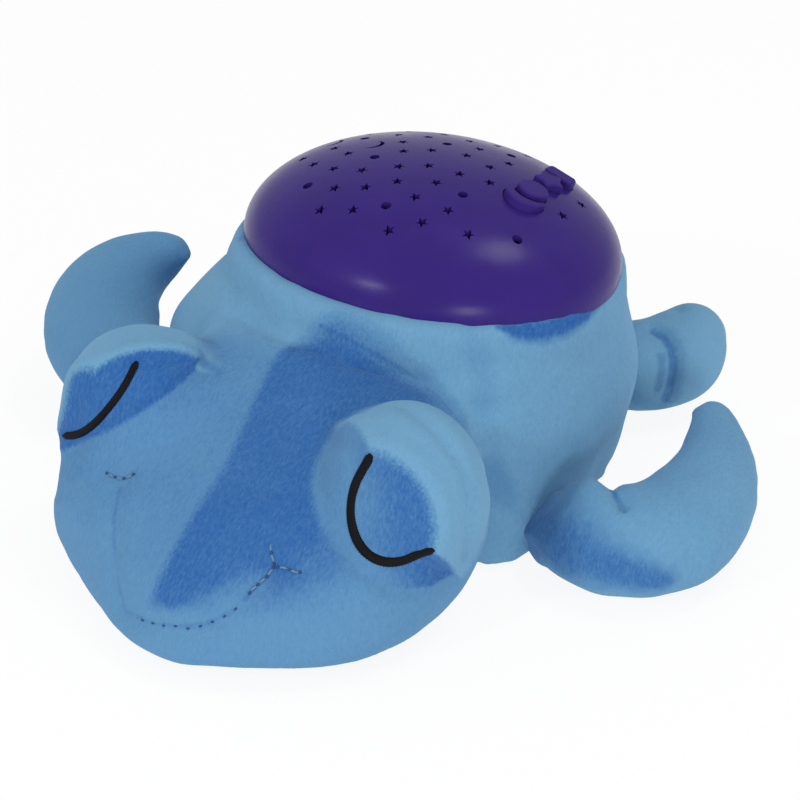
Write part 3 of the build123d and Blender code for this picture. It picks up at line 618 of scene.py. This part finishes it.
def lid_side(places, side):
    """Rough distance behind the edge of an eyelid, in metres."""
    forward, inner, inner_turn, low, low_turn = LIDS[side]
    x, y, z = places.T / MM
    edge = forward + inner_turn * np.maximum(0, inner - SIGNS[side] * x) + low_turn * np.maximum(0, low - z)
    return (y - edge) * MM


def eye_axes(side):
    way = math.radians(EYE_WAYS[side])
    look = Vector((math.sin(way), -math.cos(way), 0))
    return Vector((look.y, -look.x, 0)), look, Vector((0, 0, 1))


def on_eye(places, side):
    """Distance from an eye's middle as a share of the mound's size: about 1 on the mound."""
    off = places - np.array(EYE_MIDDLES[side]) * MM
    shares = [off @ np.array(axis) / (half * MM) for axis, half in zip(eye_axes(side), EYE_HALVES)]
    return np.sqrt(sum(share**2 for share in shares))


def above_foot(places, side):
    """0 below the foot of an eye's front, 1 above it."""
    normal, foot = EYE_FEET[side]
    return np.clip((places @ np.array(normal) - foot * MM) / FOOT_BLEND, 0, 1)


def even(points, half):
    """Gives each point of a line the same half width."""
    return [(*point, half) for point in points]


def stroke_share(n, strokes):
    """Strokes along lines, most of them painted shade: points with half widths, and depth of shade."""
    total = 0.0
    uneven = n.math("MULTIPLY", n.centred(n.noise(STROKE_GRAIN, detail=4)), STROKE_UNEVEN)
    for points, share in strokes:
        for (*start, wide), (*end, wide_end) in zip(points, points[1:]):
            start, end = Vector(start) * MM, Vector(end) * MM
            way = end - start
            off = n.away(n.place, start)
            along = n.math("ADD", n.dot(off, way / way.length_squared), 0, clamp=True)
            half = n.math("MULTIPLY_ADD", along, (wide_end - wide) * MM, wide * MM)
            far = n.math("DIVIDE", n.length(n.away(off, n.scaled(way, along))), half)
            total = n.math("MAXIMUM", total, n.ramp(n.math("ADD", far, uneven), *STROKE_EDGE, share, 0))
    return total


def plain_nap_and_shade(base, *strokes):
    """Nap of one shade with strokes in it, most of them painted shade in folds and under a foot."""
    def shade(n):
        return n.math("ADD", stroke_share(n, strokes), base)
    return shade


def eye_shade(n, axes, side, fray, dark):
    """Dark share with one eye's front and lid over the head's, and painted shade under the lid."""
    x, y, z = axes
    off = n.away(n.place, Vector(EYE_MIDDLES[side]) * MM)
    squares = []
    for axis, half in zip(eye_axes(side), EYE_HALVES):
        share = n.math("DIVIDE", n.dot(off, axis), half * MM)
        squares.append(n.math("MULTIPLY", share, share))
    across, forwards, upright = squares
    far = n.math("SQRT", n.math("ADD", n.math("ADD", across, forwards), upright))
    mound = n.ramp(n.added(far, fray, MOUND_FRAY), *MOUND_EDGE, 1, 0)
    forward, inner, inner_turn, low, low_turn = LIDS[side]
    inwards = n.math("SUBTRACT", inner * MM, n.math("MULTIPLY", x, SIGNS[side]))
    inwards = n.math("MULTIPLY", n.math("MAXIMUM", inwards, 0), inner_turn)
    down = n.math("MULTIPLY", n.math("MAXIMUM", n.math("SUBTRACT", low * MM, z), 0), low_turn)
    behind = n.math("SUBTRACT", n.math("SUBTRACT", y, forward * MM), inwards)
    behind = n.added(n.math("SUBTRACT", behind, down), fray, LID_FRAY)
    lid = n.ramp(behind, *LID_EDGE)
    normal, foot = EYE_FEET[side]
    above = n.math("SUBTRACT", n.dot(n.place, Vector(normal)), foot * MM)
    above = n.ramp(n.added(above, fray, FOOT_FRAY), *FOOT_EDGE)
    slope, start = EYE_SLOPES[side]
    outwards = n.math("MULTIPLY", n.math("SUBTRACT", x, start), slope)
    # The front darkens towards the lid's edge: painted shade under the lid
    front = n.ramp(n.math("ADD", behind, outwards), -EYE_DEPTH, 0.0, *EYE_SHADES[side])
    under = dark if side == "left" else HEAD_SHADE
    eye = n.blend(lid, LID_SHADE, n.blend(above, front, under))
    return n.blend(mound, eye, dark)


def stripe_share(n, axes, fray):
    """Share of the dark stripe down the head."""
    x, y, z = axes
    slow = n.centred(n.noise(STRIPE_GRAIN))
    edge = n.ramp(y, *STRIPE_ALONG, *STRIPE_RIGHT)
    right = n.ramp(n.added(n.math("SUBTRACT", x, edge), fray, STRIPE_FRAY), *STRIPE_EDGE)
    left = n.ramp(n.added(x, slow, STRIPE_LEFT_UNEVEN), *STRIPE_LEFT, 1, 0)
    high = n.math("SUBTRACT", z, n.math("MULTIPLY_ADD", x, STRIPE_LOW_SLOPE, STRIPE_LOW))
    soft = n.ramp(x, *STRIPE_LOW_ACROSS, *STRIPE_LOW_SOFT)
    front = n.ramp(n.added(high, slow, STRIPE_LOW_UNEVEN), STRIPE_LOW_START, soft)
    front = n.math("MULTIPLY", front, n.rest(stroke_share(n, [(MUZZLE, MUZZLE_LIGHT)])))
    corner = n.math("MULTIPLY", n.ramp(x, *STRIPE_CORNER, 1, 0), STRIPE_CORNER_ROUND)
    back = n.ramp(n.added(n.math("ADD", y, corner), fray, STRIPE_BACK_FRAY), *STRIPE_BACK, 1, 0)
    return n.math("MULTIPLY", n.math("MULTIPLY", right, left), n.math("MULTIPLY", front, back))


def body_nap_and_shade(n):
    """Dark stripe of nap, eye fronts, lighter eyelids, and painted shade in folds, creases and under the
    shell.
    """
    axes = n.axes()
    _, y, z = axes
    fray = n.centred(n.noise(FRAY_SIZE))
    head = n.ramp(z, *CHIN_TO_HEAD, CHIN_SHADE, HEAD_SHADE)
    base = n.ramp(y, *HEAD_TO_BODY, head, BODY_SHADE)
    dark = n.added(base, stripe_share(n, axes, fray), n.rest(base))
    for side in EYE_MIDDLES:
        dark = eye_shade(n, axes, side, fray, dark)
    return n.added(dark, stroke_share(n, BODY_STROKES), n.rest(dark))


# Strokes on the body: points with half widths, and depth of shade. All but the two at the right eye are
# painted
# shade: under the shell's rim, in the neck's valley, seam and top crease, along the mouth's groove and in
# folds.
BODY_STROKES = [
    (RIM_SHADOW, 1.1),
    (even(RIM_SHADOW_RIGHT, 4), 0.8),
    (even(NECK_CREASE_SHADE, 0.8), 0.6),
    (even(NECK[4::2], 7), 0.35),
    (even(NECK[::2], 1.4), 0.55),
    (even(MOUTH[:ROPED_FROM:2], 1.3), 0.35),
    (even(MOUTH[ROPED_FROM:], 1.6), 0.45),
    (EYE_CORNER, 1.0),
    (EYE_TAIL, 0.6),
    (even(FOLDS[0], 7), 0.14),
    (even(FOLDS[1], 8), 0.35),
]

# Folds and seams pressed into the stuffed pieces: points, half width and depth
CREASES = {
    "plush_body_head": [
        (MOUTH, 3.5, 1.8),
        *((points, 3.0, 1.2) for points in MOUTH_CORNERS),
        *((points, 5, 0.8) for points in FOLDS),
        *((points, 3.0, 1.5) for points in EYE_FOOT_LINES),
        (LID_BACK, 2.8, 2.2),
        (NECK, 2.2, 1.0),
    ],
    "plush_front_flipper_left": [(FLIPPER_CROOK, 3.6, 5.0), (FLIPPER_FOLD, 2.6, 3.2)],
    "plush_rear_foot_left": [(FOOT_FOLD, 2.8, 3.0), (FOOT_PLEAT, 2.0, 1.2), (FOOT_NOTCH, 3.0, 3.0)],
}
# Where the stuffing is fuller or flatter than the plain forms: middle, reach and push
PLUMP = {
    "plush_body_head": [
        ((68, -52, 6), 24, (4, -11, 0)),
        ((82, -45, 4), 18, (8, -10, 0)),
        ((78, -50, 2), 8, (3, -5, 0)),
        ((12, -175, 6), 30, (-1, -6, 0)),
        ((-60, -152, 30), 18, (-4, -2, 0)),
        ((-40, -168, 14), 20, (2.5, 1.5, 0)),
        ((78, -125, 15), 16, (-1.6, 1.2, 0)),
        ((-54, -117, 84), 18, (0, 0, -3)),
        ((-37, -106, 76), 12, (1.5, 0, 2.5)),
        ((-69, -142, 56), 11, (3, 1, 0)),
        ((-67, -145, 43), 7, (-4.5, -1.5, 0)),
        ((-85, -45, 50), 22, (-3.2, -1, 0)),
        ((-70, -10, 87), 45, (1.6, 0, -1.2)),
        ((72, 18, 87), 45, (-1.2, 0, -1)),
        ((82, -113, 30), 14, (-2.4, 0.8, 0)),
        ((79, 10, 10), 16, (-3, 0, 0)),
        ((80, 22, 68), 18, (1.2, 0, 0)),
    ],
    "plush_front_flipper_left": [
        ((128, 0, 20), 60, (1.2, 0.3, 0.4)),
        ((112, 6, 30), 14, (1.4, -1, 0)),
        ((115, 38, 30), 12, (0, 2, 1)),
        ((93, -43, 32), 12, (0, 1.5, 3)),
        ((72, -62, 12), 14, (7, 3, 2)),
        ((81, -52, 4), 8, (0.5, -4, -1.5)),
    ],
    "plush_front_flipper_right": [((-125, -25, 35), 60, (-1.2, 0, 0.8)), ((-100, -2, 50), 16, (1.5, 0, 0))],
    "plush_rear_foot_left": [((76, 102, 38), 18, (0, 0.5, 2.2)), ((58, 86, 40), 14, (0, 0, -3))],
}
# Seams: how far from a larger piece an edge goes down, how deep, and how round
SEAM_REACH = 0.0075
SEAM_DEPTH = 0.0055
SEAM_ROUND = 0.7
NECK_REACH = 0.0085
NECK_DEPTH = 0.0013
# Bulge near the floor: up to which height, how far out on the body and on the head, and between which
# places along the head that grows
SETTLE_HIGH = 0.025
SETTLE_ROUND = 1.5
SETTLE_OUT = 0.0008
SETTLE_HEAD = 0.0105
SETTLE_FROM = -0.090
SETTLE_FULL = -0.150
# The body's skin rises around the shell, behind the neck
COLLAR_FROM = 0.070
COLLAR_TOP = 0.084
COLLAR_RISE = 0.0054
COLLAR_FRONT = -0.085
# The left flipper is flatter at its root
ROOT_FROM = 0.094
ROOT_TO = 0.076
ROOT_FLAT = 0.50
# Soft pieces: the CAD nodes that each stands for, its nap and painted shade, and the larger nodes it is
# sewn to
SOFT = {
    "plush_body_head": (["plush_body", "head", "eye_left", "eye_right"], body_nap_and_shade, []),
    "plush_front_flipper_left": (
        ["front_flipper_left"],
        # Painted shade in the flipper's fold, and darker strokes at its root and edge
        plain_nap_and_shade(0.05, (FLIPPER_ROOT, 0.7), (FLIPPER_EDGE, 0.8), (even(FLIPPER_FOLD, 1.8), 0.7)),
        ["plush_body", "head"],
    ),
    "plush_front_flipper_right": (
        ["front_flipper_right"],
        plain_nap_and_shade(0.25, (even(FLIPPER_BACK, 12), 0.25)),
        ["plush_body", "head"],
    ),
    "plush_rear_foot_left": (
        ["rear_foot_left"],
        plain_nap_and_shade(
            -0.22,
            # Painted shade in the foot's fold and pleat, and under the foot
            (even(FOOT_FOLD, 3.4), 0.95),
            (even(FOOT_PLEAT, 3.0), 0.55),
            (even(FOOT_FOLD, 9), 0.3),
            (even(FOOT_UNDER, 6), 0.35),
        ),
        ["plush_body"],
    ),
    "plush_rear_foot_right": (["rear_foot_right"], plain_nap_and_shade(-0.05), ["plush_body"]),
}
HARD = ["housing", "star_shell"]


def sewn_under(places, tree):
    """Where a piece meets a larger one, its edge goes down into the seam, under the other's skin."""
    deeper = np.zeros_like(places)
    for i, place in enumerate(places):
        spot, normal, _, far = tree.find_nearest(Vector(place), SEAM_REACH)
        if spot is not None:
            deeper[i] = -np.array(normal) * SEAM_DEPTH * (1 - far / SEAM_REACH) ** SEAM_ROUND
    return places + deeper


def plumped(places, normals, name):
    """Stuffing pushed into place, and the bulge of a soft piece near the floor."""
    low = np.clip(1 - places[:, 2] / SETTLE_HIGH, 0, 1) ** SETTLE_ROUND
    head = np.clip((SETTLE_FROM - places[:, 1]) / (SETTLE_FROM - SETTLE_FULL), 0, 1)
    bulge = low * (SETTLE_OUT + (SETTLE_HEAD - SETTLE_OUT) * head)
    push = bulge[:, None] * normals * np.array([1, 1, 0])
    for middle, reach, way in PLUMP.get(name, []):
        near = ((places - np.array(middle) * MM) ** 2).sum(1) / (reach * MM) ** 2
        push += np.exp(-near)[:, None] * np.array(way) * MM
    return places + push


def swell(off, height, place, width):
    return height * np.exp(-((off - place) / width) ** 2)


def sew_face(piece):
    """The right eye's foot evened out, eyelid edges and the seam at the neck, on the stuffed body."""
    places, _ = points_of(piece)
    foot_normal, foot = EYE_FEET["right"]
    under = foot * MM - places @ np.array(foot_normal)
    around = (on_eye(places, "right") < FOOT_AROUND) * (lid_side(places, "right") < 0)
    share = np.clip(under / FOOT_BLEND, 0, 1) * around * np.clip((FOOT_DOWN - under) / FOOT_FADE, 0, 1)
    relax(piece, FOOT_ROUNDS, share)
    places, normals = points_of(piece)
    out = np.zeros(len(places))
    for side in EYE_MIDDLES:
        off = lid_side(places, side)
        edge = swell(off, *LID_SWELL) - swell(off, *LID_DIP)
        ends = np.clip((LID_ENDS[side] - on_eye(places, side)) / LID_FADE, 0, 1)
        out += edge * above_foot(places, side) * ends
    near_head = near_share(places, tree_of(nodes["head"]), NECK_REACH)
    near_body = near_share(places, tree_of(nodes["plush_body"]), NECK_REACH)
    out -= NECK_DEPTH * near_head * near_body
    move_to(piece, places + out[:, None] * normals)


def stuffed(name, parts, larger):
    """The filled skin of some soft CAD nodes, held where it meets larger or hard ones."""
    piece = skin(name, parts)
    relax(piece, EVEN_ROUNDS, back=EVEN_BACK)
    places, _ = points_of(piece)
    joined = tree_of(*(nodes[node] for node in larger + HARD))
    held = np.clip(HELD_GAIN * near_share(places, joined, HELD_REACH), 0, 1)
    stuff(piece, held)
    divide(piece)
    move_to(piece, plumped(*points_of(piece), name))
    return piece


def creased(piece, number):
    """Places of a filled piece's points under its pile, with lumps, folds and seams."""
    places, normals = points_of(piece)
    out = np.full(len(places), PILE)
    for height, size, seed in LUMPS:
        out += height * lumps(places, size, number + seed)
    pressed = np.zeros(len(places))
    for points, width, depth in CREASES.get(piece.name, []):
        near = nearness(places, smooth_line(points), width * MM)
        pressed = np.maximum(pressed, depth * MM * near)
    return places + (out - pressed)[:, None] * normals


def collared(places):
    """The body's skin drawn up around the shell."""
    rise = np.clip((places[:, 2] - COLLAR_FROM) / (COLLAR_TOP - COLLAR_FROM), 0, 1)
    rise[places[:, 1] < COLLAR_FRONT] = 0
    return places + np.outer(COLLAR_RISE * rise**2 * (3 - 2 * rise), (0, 0, 1))


soft = {}
for number, (name, (parts, nap_and_shade, larger)) in enumerate(SOFT.items()):
    piece = stuffed(name, parts, larger)
    if name == "plush_body_head":
        sew_face(piece)
    places = creased(piece, number)
    if name == "plush_front_flipper_left":
        flat = np.clip((ROOT_FROM - places[:, 0]) / (ROOT_FROM - ROOT_TO), 0, 1)
        places[:, 2] *= 1 - ROOT_FLAT * flat
    if larger:
        places = sewn_under(places, tree_of(*(nodes[node] for node in larger)))
    else:
        places = collared(places)
    places[:, 2] = np.maximum(places[:, 2], 0)
    move_to(piece, places)
    piece.data.materials.clear()
    piece.data.materials.append(plush(name, nap_and_shade))
    shade_smooth(piece.data)
    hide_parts(*parts)
    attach(piece, "base")
    soft[name] = piece

# Threads. The arcs on the eyes are bands of satin stitches with blunt ends and frayed sides.
ARC_HALVES = {"left": 0.0018, "right": 0.0014}
ARC_HEIGHT = 0.0008
ARC_SINK = 0.0001
ARC_STEP = 0.0005
ARC_DRAPES = 3
ARC_ROUNDS = 40
ARC_SIDES = 8
ARC_END = 0.45
ARC_GROW = 0.16  # of the half width, with each step from an end
ARC_FRAY = 0.00018
# Single stitches rise from the cloth and go down into it again, in shares of their radius
STITCH_SIDES = 6
STITCH_RINGS = 7
STITCH_END = 0.45
STITCH_RISE = 1.3
STITCH_SINK = 0.5
CHIN_STITCH = {"start": 0.0016, "length": 0.0014, "gap": 0.0031, "radius": 0.00034}
ROPE_STITCH = {"start": 0.0011, "length": 0.0032, "gap": 0.0008, "radius": 0.00045}
KNOT_STITCH = {"start": 0.0, "length": 0.0014, "gap": 0.0026, "radius": 0.0005}


def add_tube(made, rows):
    """Rings of points joined to one closed form."""
    rings = [[made.verts.new(place) for place in row] for row in rows]
    for a, b in zip(rings, rings[1:]):
        for k in range(len(a)):
            after = (k + 1) % len(a)
            made.faces.new((a[k], a[after], b[after], b[k]))
    made.faces.new(rings[0])
    made.faces.new(reversed(rings[-1]))


def add_thread(name, made, material):
    """A piece of thread that lies on the plush."""
    bmesh.ops.recalc_face_normals(made, faces=made.faces)
    mesh = bpy.data.meshes.new(name)
    made.to_mesh(mesh)
    made.free()
    shade_smooth(mesh)
    piece = linked(name, mesh)
    mesh.materials.append(material)
    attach(piece, "base")


def ease(rows):
    """Moves each inner row of numbers towards its neighbours."""
    rows[1:-1] = (rows[:-2] + 2 * rows[1:-1] + rows[2:]) / 4


def satin_arc(name, points, tree, half_wide, material):
    """A band of satin stitches laid on the plush."""
    line = smooth_line(points, ARC_STEP)
    for _ in range(ARC_DRAPES):
        line, normals = draped(line, tree)
        for _ in range(ARC_ROUNDS):
            ease(line)
            ease(normals)
            line[0] = 2 * line[1] - line[2]
            line[-1] = 2 * line[-2] - line[-3]
            normals[0] = normals[1]
            normals[-1] = normals[-2]
    line, _ = draped(line, tree)
    for _ in range(ARC_ROUNDS):
        ease(line)
    tangents = np.gradient(line, axis=0)
    last = len(line) - 1
    rows = []
    for i, (place, normal, tangent) in enumerate(zip(line, normals, tangents)):
        across = np.cross(tangent, normal)
        across /= np.linalg.norm(across)
        taper = min(1, ARC_END + ARC_GROW * min(i, last - i))
        fray = ARC_FRAY if i % 2 else -ARC_FRAY
        row = []
        for k in range(ARC_SIDES + 1):
            angle = math.pi * k / ARC_SIDES
            side, up = math.cos(angle), math.sin(angle)
            wide = half_wide * taper + fray * abs(side)
            row.append(place + across * wide * side + normal * (ARC_HEIGHT * up - ARC_SINK))
        rows.append(row)
    made = bmesh.new()
    add_tube(made, rows)
    add_thread(name, made, material)


def stitch_rows(places, ups, radius):
    """Rings of points around one stitch."""
    way = places[-1] - places[0]
    angles = [2 * math.pi * k / STITCH_SIDES for k in range(STITCH_SIDES)]
    rows = []
    for i, (place, up) in enumerate(zip(places, ups)):
        arch = math.sin(math.pi * i / (STITCH_RINGS - 1))
        up = up / np.linalg.norm(up)
        across = np.cross(way, up)
        across /= np.linalg.norm(across)
        thick = radius * (STITCH_END + (1 - STITCH_END) * arch)
        middle = place + up * (radius * (STITCH_RISE * arch - STITCH_SINK))
        rows.append([middle + thick * (math.cos(a) * across + math.sin(a) * up) for a in angles])
    return rows


def stitches(name, lines, tree, material, start, length, gap, radius):
    """Running stitches along lines laid on the plush."""
    made = bmesh.new()
    for line in lines:
        line, normals = draped(line, tree)
        along = lengths_along(line)
        first = start
        while first + length < along[-1]:
            spots = first + length * np.linspace(0, 1, STITCH_RINGS)
            add_tube(made, stitch_rows(sampled(line, along, spots), sampled(normals, along, spots), radius))
            first += length + gap
    add_thread(name, made, material)


black_thread = thread("black_thread", srgb(14, 14, 18))
blue_thread = thread("blue_thread", srgb(112, 146, 184))
dark_thread = thread("dark_thread", srgb(58, 90, 134))
skin_tree = tree_of(soft["plush_body_head"])
for side, points in EYE_ARCS.items():
    satin_arc("eye_arc_" + side, points, skin_tree, ARC_HALVES[side], black_thread)
thin_lines = [smooth_line(MOUTH[STITCHED_FROM:ROPED_FROM + 1])]
rope_lines = [smooth_line(points) for points in (MOUTH[:ROPED_FROM - 1:-1], *MOUTH_CORNERS)]
stitches("chin_stitches", thin_lines, skin_tree, dark_thread, **CHIN_STITCH)
stitches("mouth_stitches", rope_lines, skin_tree, blue_thread, **ROPE_STITCH)
stitches("mouth_knots", rope_lines, skin_tree, dark_thread, **KNOT_STITCH)

# Hard pieces keep their CAD shapes and get finished materials
PURPLE = srgb(52, 33, 116)
FINISHES = {
    satin_plastic("purple_plastic", PURPLE, 0.25, shine=0.12): ["star_shell"],
    satin_plastic("button_plastic", PURPLE, 0.55, shine=0.14): [
        "moon_button", "disc_button", "star_button", "bar_button",
    ],
    satin_plastic("white_plastic", srgb(226, 228, 230), 0.5): ["housing", "battery_door", "light_column"],
    satin_plastic("keypad_rubber", srgb(188, 190, 192), 0.7): ["keypad"],
    satin_plastic("board_green", srgb(34, 92, 56), 0.45): ["keypad_board", "led_board"],
    satin_plastic("chip_resin", srgb(18, 18, 20), 0.3): ["controller_chip"],
    bare_metal("zinc", srgb(176, 178, 182), 0.35): [
        "keypad_screws", "housing_screws", "battery_door_screws", "column_screws", "led_board_screws",
    ],
    bare_metal("nickel", srgb(196, 196, 192), 0.28): ["battery_contacts"],
    satin_plastic("cell_jacket", srgb(48, 84, 120), 0.35): ["batteries"],
    satin_plastic("lamp_amber", srgb(240, 150, 30), 0.15): ["led_amber"],
    satin_plastic("lamp_green", srgb(60, 190, 90), 0.15): ["led_green"],
    satin_plastic("lamp_blue", srgb(60, 110, 230), 0.15): ["led_blue"],
    satin_plastic("wire_red", srgb(176, 30, 34), 0.5): ["battery_wires"],
    satin_plastic("ribbon_grey", srgb(206, 206, 200), 0.5): ["keypad_ribbon"],
}
for material, names in FINISHES.items():
    for name in names:
        nodes[name].data.materials.clear()
        nodes[name].data.materials.append(material)

# Stage: pale floor, soft studio light
FLOOR_SIZE = 4
FLOOR_DROP = 0.0006
FLOOR_COLOUR = srgb(252, 252, 252)
FLOOR_ROUGH = 0.9
# Share of the floor's own light, and what is added where the camera, gloss or glass sees the floor
FLOOR_GLOW = 0.45
FLOOR_SEEN = 0.45
SKY_STRENGTH = 0.68
# Lamps: place, size and watts
LAMP_TARGET = Vector((0, 0, 0.05))
LAMPS = {
    "key": ((-0.33, -1.27, 0.78), 0.15, 4.4),
    "top": ((0.42, 0.30, 1.42), 0.44, 4.0),
    "low": ((1.00, -1.12, 0.26), 0.33, 5.0),
}


def floor_material():
    n = Nodes("floor")
    n.put(n.shader.inputs["Base Color"], FLOOR_COLOUR)
    n.put(n.shader.inputs["Roughness"], FLOOR_ROUGH)
    light = n.add("ShaderNodeEmission")
    rays = n.add("ShaderNodeLightPath")
    seen = n.math("MAXIMUM", rays.outputs["Is Camera Ray"], rays.outputs["Is Glossy Ray"])
    seen = n.math("MAXIMUM", seen, rays.outputs["Is Transmission Ray"])
    glow = n.math("MULTIPLY_ADD", seen, FLOOR_SEEN, FLOOR_GLOW)
    both = n.fed(n.add("ShaderNodeMixShader"), glow, n.shader.outputs["BSDF"], light.outputs["Emission"])
    n.put(n.tree.nodes["Material Output"].inputs["Surface"], both.outputs["Shader"])
    return n.material


def add_stage():
    made = bmesh.new()
    bmesh.ops.create_grid(made, x_segments=2, y_segments=2, size=FLOOR_SIZE)
    mesh = bpy.data.meshes.new("floor")
    made.to_mesh(mesh)
    made.free()
    mesh.materials.append(floor_material())
    floor = linked("floor", mesh)
    floor.location.z = -FLOOR_DROP
    world = bpy.data.worlds.new("studio")
    world.use_nodes = True
    bpy.context.scene.world = world
    sky = world.node_tree.nodes["Background"]
    sky.inputs["Color"].default_value = (1, 1, 1, 1)
    sky.inputs["Strength"].default_value = SKY_STRENGTH


def add_lamp(name, place, size, watts):
    data = bpy.data.lights.new(name, "AREA")
    data.shape = "DISK"
    data.size = size
    data.energy = watts
    lamp = linked(name, data)
    lamp.location = place
    lamp.rotation_euler = (LAMP_TARGET - Vector(place)).to_track_quat("-Z", "Y").to_euler()


add_stage()
for name, (place, size, watts) in LAMPS.items():
    add_lamp(name, place, size, watts)
bpy.context.scene.view_settings.view_transform = "Standard"
